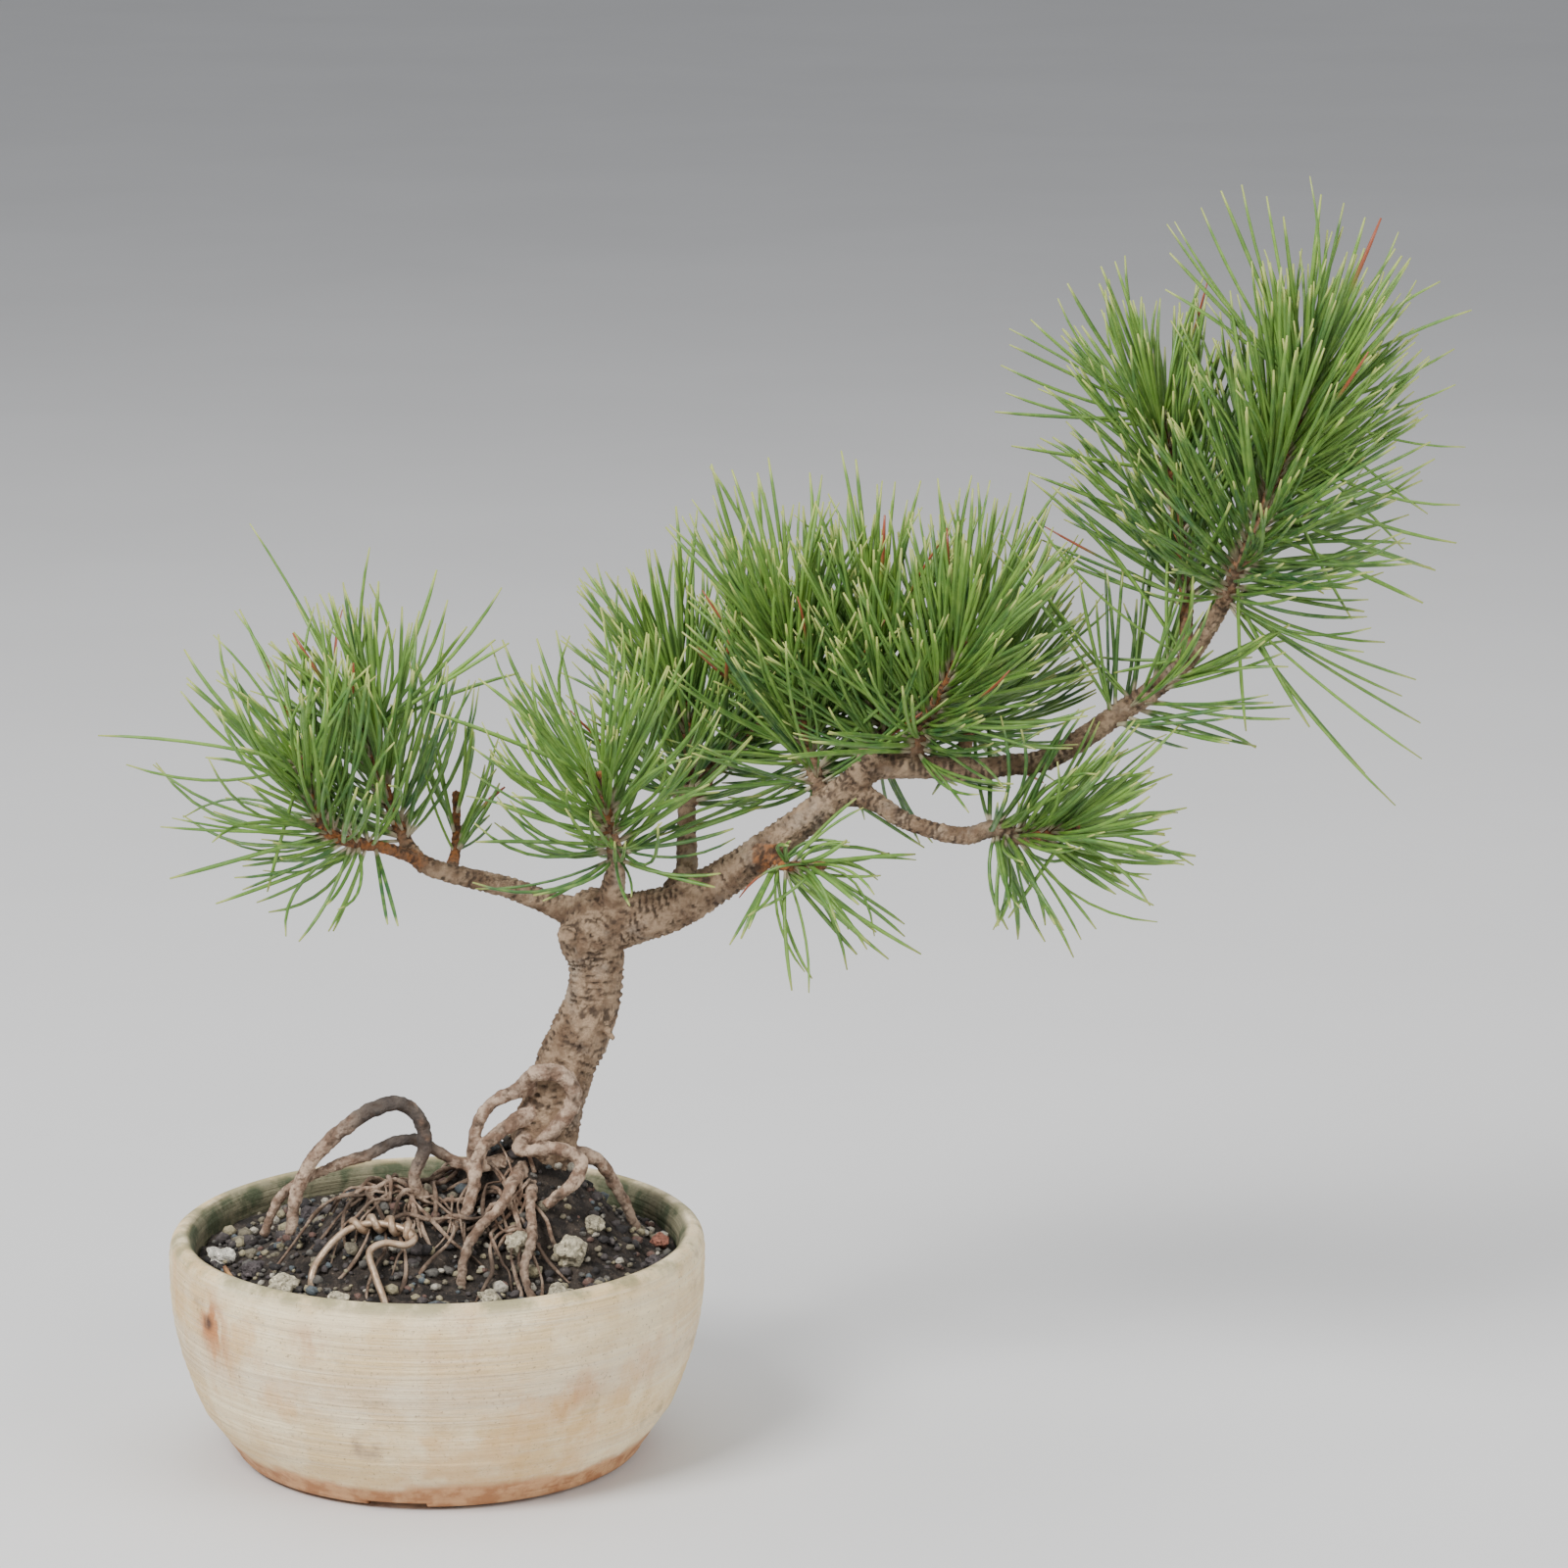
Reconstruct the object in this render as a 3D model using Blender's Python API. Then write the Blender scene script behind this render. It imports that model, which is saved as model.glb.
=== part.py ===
"""A small mountain pine trained as a bonsai, with bare surface roots, in a round stoneware pot."""

import math
import random

import bmesh
import bpy
import numpy as np
from mathutils import Matrix, Vector

MM = 0.001

# Pot, in millimetres: the widest turned radius, the height and the wall follow a 150 mm bowl.
POT_RADIUS = 75.0
POT_HEIGHT = 64.0
POT_WALL = 7.0
FLOOR_TOP = 10.0
UNDERSIDE = 2.5
FOOT_RADIUS = 54.0
FOOT_WIDTH = 7.0
NOTCH_WIDTH = 17.0
NOTCH_COUNT = 3
FIRST_NOTCH = math.radians(-99)
DRAIN_RADIUS = 8.0
DRAIN_CENTRES = [(-24.0, -14.0), (24.0, 14.0)]
POT_STEPS = 44

# Soil: level at the wall, then two mounds (x, y, height, spread), one under the trunk, one under the roots.
SOIL_LEVEL = 56.5
MOUNDS = [(24, 1, 33, 17), (-16, -19, 22, 17)]
SOIL_RADII = [9, 18, 27, 37, 48, 60]
SOIL_STEPS = 36

CLEARANCE = 0.3
ROUTE_STEP = 7.5
TWIG_STEP = 4.2

# The wood, bottom to top. Each point is (x, y, z, diameter).
TRUNK = [(27, 3, 74, 17), (30, 2, 90, 19), (33, 2, 100, 17), (36, 2, 110, 17), (40, 2, 119, 17),
         (44, 2, 129, 15.5), (45, 2, 139, 15.5), (44, 2, 147, 19), (46, 1, 154, 19), (49, 0, 158, 11)]
LEADER = [(43, 1, 149, 16), (54, 0, 153, 15), (67, -2, 157, 13), (83, -4, 167, 11), (92, -5, 174, 10),
          (105, -6, 184, 9), (116, -6, 193, 8.4), (122, -6, 198, 9), (132, -7, 198, 7), (149, -7, 197, 6.4),
          (159, -6, 198, 6.2), (169, -4, 199, 6.4), (180, -2, 205, 6.4), (189, 0, 211, 6.2), (199, 0, 218, 6),
          (207, 0, 225, 6), (212, -2, 233, 5), (217, -4, 242, 4.6), (220, -6, 250, 4.2), (226, -8, 264, 4),
          (231, -8, 278, 3.8), (235, -8, 290, 3.4), (239, -8, 304, 2.4)]
SECOND_LEADER = [(208, 1, 228, 4), (208, 9, 245, 3.8), (206, 14, 262, 3.4), (204, 16, 277, 3.2), (200, 18, 293, 2.4)]
LEFT_BRANCH = [(44, 1, 152, 11), (35, 2, 156, 7.6), (21, 0, 162, 6.2), (11, -2, 165, 5.8), (-1, -4, 169, 5.2),
               (-6, -4, 174, 4.4), (-10, -2, 182, 3.6), (-13, 0, 190, 3.4), (-16, 2, 198, 3.2), (-19, 2, 207, 2.4)]
LOW_LEFT_TWIG = [(-2, -4, 170, 4), (-12, -12, 176, 3.4), (-24, -18, 180, 3.2), (-30, -20, 186, 3), (-34, -22, 204, 2.4)]
LEFT_TWIG = [(5, -2, 167, 4), (6, 6, 171, 3), (6, 12, 178, 2.6), (6, 15, 186, 2.4)]
UPRIGHT_SHOOT = [(49, -1, 155, 9), (50, -4, 163, 7), (51, -8, 172, 5), (49, -12, 183, 3.8), (47, -14, 198, 2.6)]
REAR_BRANCH = [(68, 2, 157, 7), (70, 12, 163, 6.4), (70, 19, 172, 5.8), (70, 27, 185, 4.6), (70, 34, 198, 3.8),
               (67, 42, 214, 2.6)]
REAR_TWIG = [(70, 24, 180, 4.4), (80, 32, 192, 3.8), (90, 36, 204, 3.4), (94, 38, 218, 2.6)]
PAD_LEFT = [(108, -4, 188, 5), (104, 8, 200, 4), (102, 10, 214, 3.4), (99, 11, 230, 2.6)]
PAD_MIDDLE = [(123, -4, 199, 5), (125, 3, 206, 4), (123, 6, 217, 3.4), (122, 8, 231, 2.6)]
PAD_RIGHT = [(133, -6, 199, 5), (135, -8, 208, 4), (141, -11, 221, 3.4), (147, -13, 234, 2.6)]
PAD_REAR = [(146, -5, 198, 4.6), (148, 8, 203, 4), (151, 20, 212, 3.6), (154, 26, 226, 2.6)]
LOW_RIGHT_BRANCH = [(114, -6, 190, 8), (121, -8, 189, 6), (130, -12, 184, 5), (140, -14, 181, 5), (148, -14, 180, 5),
                    (155, -14, 182, 5), (162, -15, 180, 4.4), (171, -16, 181, 3), (178, -17, 183, 2.4)]
UNDER_TWIG = [(92, -6, 173, 4), (97, -12, 171, 3), (103, -15, 172, 2.8), (109, -17, 172, 2.4)]

ROOTS = [
    [(26, 3, 78, 8), (12, -6, 76, 4), (0, -16, 76, 4), (-5, -22, 84, 3.6), (-2, -21, 93, 4), (-3, -21, 101, 4.2),
     (-8, -22, 106, 4.4), (-15, -23, 105, 4.6), (-22, -24, 101, 4.4), (-32, -25, 92, 4.2), (-37, -26, 82, 4),
     (-39, -28, 70, 3)],
    [(28, 1, 86, 6), (10, -14, 86, 3.6), (-6, -19, 95, 3.4), (-18, -21, 91, 3.4), (-27, -21, 88, 3.2),
     (-41, -20, 80, 3), (-47, -22, 68, 2.6)],
    [(32, 1, 100, 7), (21, -8, 96, 4.4), (13, -13, 90, 4), (11, -18, 80, 3.8), (8, -23, 73, 3.4), (-2, -28, 64, 2.8)],
    [(30, 0, 106, 6), (20, -6, 104, 4), (14, -8, 100, 3.8), (11, -9, 92, 3.6), (10, -8, 80, 3)],
    [(26, 0, 92, 6), (24, -13, 90, 3.8), (34, -14, 91, 4), (41, -13, 87, 4), (39, -17, 82, 3.8), (31, -20, 76, 3)],
    [(26, 0, 84, 6), (22, -17, 82, 3.6), (19, -24, 77, 3.2), (12, -30, 71, 3), (9, -38, 64, 2.8), (9, -44, 55, 2.4)],
    [(27, 0, 82, 6), (27, -20, 77, 3.2), (28, -30, 70, 3), (26, -40, 63, 2.6), (30, -50, 55, 2.2)],
    [(28, 2, 84, 6), (43, 2, 84, 4.4), (50, 6, 74, 3.6), (56, 8, 60, 2.8), (58, 9, 52, 2.4)],
    [(26, 4, 84, 6), (22, 18, 82, 4), (18, 30, 72, 3.4), (14, 42, 58, 2.8), (12, 48, 51, 2.4)],
]
TRUNK_KNOT = [(24, -4, 106, 4.6), (29, -8, 111, 5), (36, -8, 110, 5), (39, -7, 103, 4.6), (34, -7, 95, 4),
              (28, -6, 90, 3.6)]

# Needles of one shoot: the twig, the share of its length that is clad, how many, their length, the angle to the
# twig at the foot and at the tip, how far they lift, and the ends of those that set the outline.
SHOOTS = {
    "needles_leader": (LEADER, 0.78, 28, 48, 75, 22, 6,
                       [(238, -8, 361), (258, 4, 350), (284, -14, 324), (282, 0, 287), (281, 6, 261), (276, -20, 251),
                        (272, -12, 207), (265, -22, 187), (241, -24, 210), (221, 8, 357), (203, -6, 349),
                        (268, 16, 297), (248, -30, 318), (224, -34, 300)]),
    "needles_second_leader": (SECOND_LEADER, 0.35, 18, 46, 70, 22, 4,
                              [(191, 18, 335), (175, 22, 328), (160, 10, 312), (155, 22, 294), (160, 16, 276),
                               (197, 48, 318), (214, 46, 300)]),
    "needles_left_shoot": (LEFT_BRANCH, 0.76, 15, 42, 70, 18, 8,
                           [(-49, 6, 264), (-16, 2, 258), (2, -4, 250), (20, 8, 246), (24, 2, 229), (-24, 18, 246)]),
    "needles_low_left": (LOW_LEFT_TWIG, 0.5, 15, 42, 80, 25, 8,
                         [(-89, -24, 210), (-67, -14, 230), (-81, -30, 203), (-71, -34, 186), (-58, -26, 163),
                          (-44, -42, 168)]),
    "needles_left_twig": (LEFT_TWIG, 0.3, 6, 26, 50, 25, 2, []),
    "needles_upright": (UPRIGHT_SHOOT, 0.55, 16, 38, 95, 30, 10,
                        [(1, -22, 216), (14, -8, 224), (39, -16, 238), (60, -18, 238), (74, -20, 203),
                         (50, -50, 206)]),
    "needles_rear_branch": (REAR_BRANCH, 0.62, 15, 44, 70, 20, 6,
                            [(49, 44, 232), (53, 40, 244), (64, 56, 256), (74, 70, 240)]),
    "needles_rear_twig": (REAR_TWIG, 0.5, 10, 44, 65, 20, 6, [(78, 44, 262), (104, 60, 256)]),
    "needles_pad_left": (PAD_LEFT, 0.42, 17, 44, 75, 20, 6, [(78, 6, 277), (92, 12, 280), (66, -6, 262)]),
    "needles_pad_middle": (PAD_MIDDLE, 0.42, 17, 46, 75, 18, 6, [(116, 10, 283), (128, 4, 274), (104, -22, 262)]),
    "needles_pad_right": (PAD_RIGHT, 0.42, 16, 44, 75, 20, 6, [(143, -14, 274), (152, -20, 279), (170, -24, 248)]),
    "needles_pad_rear": (PAD_REAR, 0.5, 13, 44, 70, 20, 6, [(160, 34, 272), (178, 34, 242)]),
    "needles_low_right": (LOW_RIGHT_BRANCH, 0.72, 14, 36, 75, 22, 4,
                          [(205, -12, 211), (204, -20, 192), (204, -28, 174), (198, -18, 156), (177, -22, 146)]),
    "needles_under_twig": (UNDER_TWIG, 0.4, 7, 30, 60, 25, -4, [(133, -22, 147), (104, -26, 142), (124, -12, 166)]),
}
SLEEVE_WALL = 1.1
SLEEVE_SIDES = 6
NEEDLE_RADII = [0.75, 0.7, 0.3]
LEAST_GAP = 2.1
SPOTS = 36

# Tie wire: it leaves the soil at the left front, twists round itself and goes back down.
WIRE_DIAMETER = 2.0
WIRE = [(-27, -38, 38), (-31, -44, 50), (-32, -44, 62), (-30, -40, 67), (-24, -36, 73), (-17, -35, 75.5), (-9, -36, 75),
        (-4, -39, 73), (-6, -42, 71.5), (-12, -42, 72), (-16, -44, 70), (-14, -50, 65), (-11, -55, 58), (-10, -54, 46),
        (-12, -48, 36)]

# Larger stones on the soil: name, centre x and y, size, squash, how far the centre stands over the soil.
STONES = [
    ("pumice_large", 38, -26, 10.5, 1.05, 1.6), ("pumice_front", 36, -46, 8, 0.7, 1.0),
    ("pumice_middle", 24, -27, 8.5, 0.85, 1.4), ("pumice_right", 44, -14, 6.5, 0.8, 1.0),
    ("pumice_left_oval", -40, -42, 7.5, 0.7, 0.8), ("pumice_front_left", -24, -54, 6.5, 0.9, 1.0),
    ("pumice_small", 17, -49, 6, 0.85, 0.8), ("pumice_white", -60, -8, 7, 0.9, 0.8),
    ("lava_right", 61, -16, 6.5, 0.8, 0.8), 
    ("lava_front_right", 46, -40, 6.5, 0.75, 0.6), ("lava_front", 3, -58, 6, 0.8, 0.6),
    ("lava_left", -50, -26, 6.5, 0.75, 0.6), ("lava_rear_left", -38, 34, 7, 0.8, 0.8),
    ("lava_rear", 0, 56, 7, 0.8, 0.6), ("grit_rear_right", 42, 36, 7.5, 0.8, 0.8),
    ("grit_red", 62, 4, 5.5, 0.8, 0.8),
]

# Fallen needles: they lie on the soil, one in front and one at the left.
FALLEN_NEEDLES = {"fallen_needle_green": [(12, -58), (22, -59.5), (33, -57)],
                  "fallen_needle_brown": [(-50, -38), (-55, -30), (-58, -20)]}

COLOURS = {
    "clay": ((0.78, 0.68, 0.49), 0.8), "earth": ((0.035, 0.027, 0.02), 0.95), "bark": ((0.27, 0.19, 0.13), 0.85),
    "needle": ((0.11, 0.22, 0.05), 0.45), "wire": ((0.45, 0.3, 0.18), 0.5), "pumice": ((0.5, 0.42, 0.25), 0.95),
    "lava": ((0.09, 0.075, 0.075), 0.95), "grit": ((0.14, 0.13, 0.12), 0.9), "mesh": ((0.02, 0.02, 0.02), 0.6),
    "straw": ((0.4, 0.22, 0.08), 0.6),
}


def clear_scene():
    for obj in list(bpy.data.objects):
        bpy.data.objects.remove(obj, do_unlink=True)


def material(name):
    """One Principled material per piece, made once."""
    found = bpy.data.materials.get(name)
    if found:
        return found
    made = bpy.data.materials.new(name)
    made.use_nodes = True
    colour, roughness = COLOURS[name.split("-")[0]]
    shader = made.node_tree.nodes["Principled BSDF"]
    shader.inputs["Base Color"].default_value = (*colour, 1)
    shader.inputs["Roughness"].default_value = roughness
    shader.inputs["Metallic"].default_value = 0.6 if name.startswith("wire") else 0.0
    return made


def add_object(name, mesh, colour, sharp=math.radians(40)):
    obj = bpy.data.objects.new(name, mesh)
    bpy.context.scene.collection.objects.link(obj)
    mesh.materials.clear()
    mesh.materials.append(material(f"{colour}-{name}"))
    mesh.shade_smooth()
    mesh.set_sharp_from_angle(angle=sharp)
    return obj


def add_cutter(name, mesh):
    obj = bpy.data.objects.new(name, mesh)
    bpy.context.scene.collection.objects.link(obj)
    obj.hide_render = True
    obj.display_type = "WIRE"
    return obj


def boolean(obj, cutter, operation, self_overlap=False):
    step = obj.modifiers.new(cutter.name, "BOOLEAN")
    step.operation = operation
    step.object = cutter
    step.solver = "EXACT"
    step.use_self = self_overlap


def mesh_from(bm, name):
    bmesh.ops.recalc_face_normals(bm, faces=bm.faces)
    bmesh.ops.scale(bm, vec=(MM, MM, MM), verts=bm.verts)
    mesh = bpy.data.meshes.new(name)
    bm.to_mesh(mesh)
    bm.free()
    return mesh


def smooth_route(points, step=ROUTE_STEP):
    """A Catmull-Rom curve through the points; every column, also the diameter, runs smoothly."""
    knots = np.array([points[0], *points, points[-1]], float)
    knots[0] = 2 * knots[1] - knots[2]
    knots[-1] = 2 * knots[-2] - knots[-3]
    route = []
    for a, b, c, d in zip(knots, knots[1:], knots[2:], knots[3:]):
        count = max(1, round(np.linalg.norm((c - b)[:3]) / step))
        for t in np.arange(count) / count:
            route.append(0.5 * (2 * b + (c - a) * t + (2 * a - 5 * b + 4 * c - d) * t**2
                                + (3 * b - a - 3 * c + d) * t**3))
    route.append(knots[-2])
    return np.array(route)


def lengthen(route, extra):
    """The same route, run on by a little at both ends."""
    longer = np.array(route)
    for end, inner in ((0, 1), (-1, -2)):
        way = route[end][:3] - route[inner][:3]
        longer[end][:3] = route[end][:3] + way / np.linalg.norm(way) * extra
    return longer


def tubes(routes, sides=6, caps=True):
    """Closed tubes in one bmesh; a route's fourth column is the tube's radius."""
    ring = bpy.data.curves.new("ring", "CURVE").splines
    ring = ring.new("POLY")
    ring.points.add(sides - 1)
    for k, point in enumerate(ring.points):
        turn = 2 * math.pi * k / sides
        point.co = (math.cos(turn), math.sin(turn), 0, 1)
    ring.use_cyclic_u = True
    section = bpy.data.objects.new("section", ring.id_data)
    curve = bpy.data.curves.new("routes", "CURVE")
    curve.dimensions = "3D"
    curve.bevel_mode = "OBJECT"
    curve.bevel_object = section
    curve.use_fill_caps = caps
    for route in routes:
        spline = curve.splines.new("POLY")
        spline.points.add(len(route) - 1)
        for point, (x, y, z, radius) in zip(spline.points, route):
            point.co = (x, y, z, 1)
            point.radius = radius
    holder = bpy.data.objects.new("routes", curve)
    bpy.context.scene.collection.objects.link(section)
    bpy.context.scene.collection.objects.link(holder)
    evaluated = holder.evaluated_get(bpy.context.evaluated_depsgraph_get())
    mesh = bpy.data.meshes.new_from_object(evaluated)
    bpy.data.objects.remove(holder)
    bpy.data.objects.remove(section)
    bm = bmesh.new()
    bm.from_mesh(mesh)
    bpy.data.meshes.remove(mesh)
    bmesh.ops.remove_doubles(bm, verts=bm.verts, dist=1e-4)
    bmesh.ops.recalc_face_normals(bm, faces=bm.faces)
    return bm


def joined(parts, name):
    """Several bmeshes as one mesh, which frees them."""
    whole = bmesh.new()
    for bm in parts:
        piece = bpy.data.meshes.new("piece")
        bm.to_mesh(piece)
        bm.free()
        whole.from_mesh(piece)
        bpy.data.meshes.remove(piece)
    return mesh_from(whole, name)


def wood_route(points, step=ROUTE_STEP):
    """A route whose fourth column is the radius."""
    route = smooth_route(points, step)
    route[:, 3] /= 2
    return route


def grown(route, sides):
    """The route of a pocket: longer, and wide enough for its flats to clear the piece's corners."""
    wider = lengthen(route, 1.5 * CLEARANCE)
    wider[:, 3] = (wider[:, 3] + 1.3 * CLEARANCE) / math.cos(math.pi / sides)
    return wider


def pot_profile():
    """Half section of the pot from the underside's centre, up the outside, over the rim and down the inside."""
    inner = POT_RADIUS - POT_WALL
    return [(0, UNDERSIDE), (FOOT_RADIUS - FOOT_WIDTH - 1, UNDERSIDE), (FOOT_RADIUS - FOOT_WIDTH, 0),
            (FOOT_RADIUS - 1.5, 0), (FOOT_RADIUS + 3.5, 2.4), (59.5, 5.6), (63.2, 11), (67, 16.7), (71.1, 27.7),
            (73.3, 36), (POT_RADIUS, 50), (POT_RADIUS, 59.5), (73.8, 62.8), (71.6, POT_HEIGHT), (69.4, 63),
            (inner, 60), (inner, 48), (66.3, 36), (63, 24), (56, 14), (50, FLOOR_TOP), (0, FLOOR_TOP)]


def turned(profile, steps):
    """A closed body turned round Z from a half section whose two ends lie on the axis."""
    bm = bmesh.new()
    verts = [bm.verts.new((r, 0, z)) for r, z in profile]
    edges = [bm.edges.new(pair) for pair in zip(verts, verts[1:])]
    bmesh.ops.spin(bm, geom=verts + edges, cent=(0, 0, 0), axis=(0, 0, 1), angle=2 * math.pi, steps=steps,
                   use_merge=True)
    bmesh.ops.remove_doubles(bm, verts=bm.verts, dist=1e-4)
    return bm


def block(size, centre, turn=0.0):
    bm = bmesh.new()
    bmesh.ops.create_cube(bm, size=1)
    bmesh.ops.scale(bm, vec=size, verts=bm.verts)
    bmesh.ops.translate(bm, vec=centre, verts=bm.verts)
    bmesh.ops.rotate(bm, cent=(0, 0, 0), matrix=Matrix.Rotation(turn, 3, "Z"), verts=bm.verts)
    return bm


def make_pot():
    pot = add_object("pot", mesh_from(turned(pot_profile(), POT_STEPS), "pot"), "clay")
    turns = [FIRST_NOTCH + 2 * math.pi * k / NOTCH_COUNT for k in range(NOTCH_COUNT)]
    notches = [block((30, NOTCH_WIDTH, 5), (FOOT_RADIUS, 0, 0), turn) for turn in turns]
    boolean(pot, add_cutter("notches", joined(notches, "notches")), "DIFFERENCE")
    drains = []
    for x, y in DRAIN_CENTRES:
        bm = bmesh.new()
        bmesh.ops.create_cone(bm, cap_ends=True, segments=24, radius1=DRAIN_RADIUS, radius2=DRAIN_RADIUS, depth=30)
        bmesh.ops.translate(bm, vec=(x, y, FLOOR_TOP - 6), verts=bm.verts)
        drains.append(bm)
    boolean(pot, add_cutter("drains", joined(drains, "drains")), "DIFFERENCE")


def make_drain_mesh(number, x, y, cells=5, pitch=4.6, thick=0.9):
    """A square of plastic grid that keeps the soil over a drain hole."""
    bm = bmesh.new()
    bmesh.ops.create_grid(bm, x_segments=cells, y_segments=cells, size=cells * pitch / 2)
    low = cells * pitch / 2
    windows = []
    for face in bm.faces:
        centre = face.calc_center_median()
        column = int((centre.x + low) // pitch)
        row = int((centre.y + low) // pitch)
        if column % 2 and row % 2:
            windows.append(face)
    bmesh.ops.delete(bm, geom=windows, context="FACES")
    base = list(bm.faces)
    raised = bmesh.ops.extrude_face_region(bm, geom=base, use_keep_orig=True)
    tops = [item for item in raised["geom"] if isinstance(item, bmesh.types.BMVert)]
    bmesh.ops.translate(bm, vec=(0, 0, thick), verts=tops)
    bmesh.ops.translate(bm, vec=(x, y, FLOOR_TOP + CLEARANCE), verts=bm.verts)
    name = f"drain_mesh_{number}"
    add_object(name, mesh_from(bm, name), "mesh")
    side = cells * pitch + 2 * CLEARANCE
    return block((side, side, 2 * thick + 4), (x, y, FLOOR_TOP - 1.0))


def soil_height(x, y):
    """The surface: two mounds that die out before the wall."""
    radius = math.hypot(x, y)
    rim = min(1.0, max(0.0, (POT_RADIUS - POT_WALL - radius) / 14))
    rise = sum(high * math.exp(-((x - cx)**2 + (y - cy)**2) / (2 * spread**2)) for cx, cy, high, spread in MOUNDS)
    return SOIL_LEVEL + rim * rise


def soil_profile():
    wall = [(r - CLEARANCE - 0.15, z) for r, z in pot_profile()[-6:-1] if z < SOIL_LEVEL]
    wall = [(r, z + (CLEARANCE if z == FLOOR_TOP else 0)) for r, z in wall]
    top = POT_RADIUS - POT_WALL - CLEARANCE - 0.15
    surface = [(r, SOIL_LEVEL) for r in [0, *SOIL_RADII, top]]
    return surface + wall + [(0, FLOOR_TOP + CLEARANCE)]


def make_soil(pockets):
    bm = turned(soil_profile(), SOIL_STEPS)
    for vert in bm.verts:
        if vert.co.z > SOIL_LEVEL - 0.1:
            vert.co.z = soil_height(vert.co.x, vert.co.y)
    uncut = add_cutter("uncut_soil", mesh_from(bm, "uncut_soil"))
    boolean(uncut, add_cutter("pockets", joined(pockets, "pockets")), "DIFFERENCE", True)
    evaluated = uncut.evaluated_get(bpy.context.evaluated_depsgraph_get())
    cut = bmesh.new()
    cut.from_mesh(bpy.data.meshes.new_from_object(evaluated))
    keep_largest_body(cut)
    mesh = bpy.data.meshes.new("soil")
    cut.to_mesh(mesh)
    cut.free()
    add_object("soil", mesh, "earth", math.radians(60))


def keep_largest_body(bm):
    """Drop the crumbs that the pockets leave between crossing roots."""
    bodies = []
    unseen = set(bm.verts)
    while unseen:
        body = set()
        front = [unseen.pop()]
        while front:
            vert = front.pop()
            body.add(vert)
            beside = [edge.other_vert(vert) for edge in vert.link_edges]
            fresh = [other for other in beside if other in unseen]
            unseen.difference_update(fresh)
            front.extend(fresh)
        bodies.append(body)
    bodies.sort(key=len)
    crumbs = [vert for body in bodies[:-1] for vert in body]
    bmesh.ops.delete(bm, geom=crumbs, context="VERTS")


def make_wood(limbs):
    """The whole tree without its needles: every limb and root grown into the trunk."""
    trunk = mesh_from(tubes([wood_route(TRUNK)], 10), "trunk_and_branches")
    wood = add_object("trunk_and_branches", trunk, "bark")
    boolean(wood, add_cutter("limbs", mesh_from(tubes(limbs, 6), "limbs")), "UNION", True)


def pebble(seed, size, squash, centre, grow=0.0):
    """A rough pebble: a ball whose corners are pushed in and out."""
    shape = random.Random(seed)
    bm = bmesh.new()
    bmesh.ops.create_icosphere(bm, subdivisions=2, radius=1)
    lumps = [(Vector((shape.uniform(-1, 1), shape.uniform(-1, 1), shape.uniform(-1, 1))).normalized(),
              shape.uniform(0.12, 0.3)) for _ in range(6)]
    for vert in bm.verts:
        way = vert.co.normalized()
        cut = min(1.0, *(1 - depth * max(0.0, way.dot(axis))**2 for axis, depth in lumps))
        vert.co = way * cut * (size / 2) + way * grow
    bmesh.ops.scale(bm, vec=(1.1, 0.95, squash), verts=bm.verts)
    bmesh.ops.rotate(bm, cent=(0, 0, 0), matrix=Matrix.Rotation(shape.uniform(0, 6.28), 3, "Z"), verts=bm.verts)
    bmesh.ops.translate(bm, vec=centre, verts=bm.verts)
    return bm


def make_stones():
    pockets = []
    for seed, (name, x, y, size, squash, proud) in enumerate(STONES, start=11):
        centre = (x, y, soil_height(x, y) + proud)
        add_object(name, mesh_from(pebble(seed, size, squash, centre), name), name.split("_")[0])
        pockets.append(pebble(seed, size, squash, centre, CLEARANCE / min(squash, 0.95)))
    return pockets


def dense(path):
    """Points close together along a needle, to measure gaps from."""
    spots = np.linspace(0, len(path) - 1, SPOTS)
    return np.column_stack([np.interp(spots, range(len(path)), path[:, axis]) for axis in range(3)])


def bent_needle(foot, way, tip):
    """Three points: the sheath at the foot, the bend and the tip."""
    reach = np.linalg.norm(tip - foot)
    bend = (foot + tip) / 2 + (way / np.linalg.norm(way) - (tip - foot) / reach) * reach * 0.18
    return np.array([foot + way / np.linalg.norm(way) * 3, bend, tip])


def clear_of(path, taken, own):
    """True where a needle keeps its distance from the wood, the sleeves and the other needles."""
    spots = dense(path)
    apart = np.linalg.norm(spots[:, None] - taken["points"][None], axis=2) - taken["radii"]
    away = np.linalg.norm(spots[:, None] - taken["wood"][None, :, :3], axis=2) - taken["wood"][None, :, 3]
    beside = np.linalg.norm(spots[6:, None] - own[None], axis=2) if len(own) else np.full(1, 99.0)
    return apart.min() > LEAST_GAP and away[6:].min() > LEAST_GAP + SLEEVE_WALL and beside.min() > 1.8


def grow_needle(bm, face, path):
    """Extrude one face of the sleeve along the needle's points, narrowing to the tip."""
    ways = np.diff(np.vstack([np.array(face.calc_center_median()), path]), axis=0)
    for point, way, radius in zip(path, ways, NEEDLE_RADII):
        face = bmesh.ops.extrude_discrete_faces(bm, faces=[face])["faces"][0]
        face.normal_update()
        centre = face.calc_center_median()
        turn = face.normal.rotation_difference(Vector(way)).to_matrix()
        for vert in face.verts:
            vert.co = Vector(point) + (turn @ (vert.co - centre)).normalized() * radius
        face.normal_update()


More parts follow.
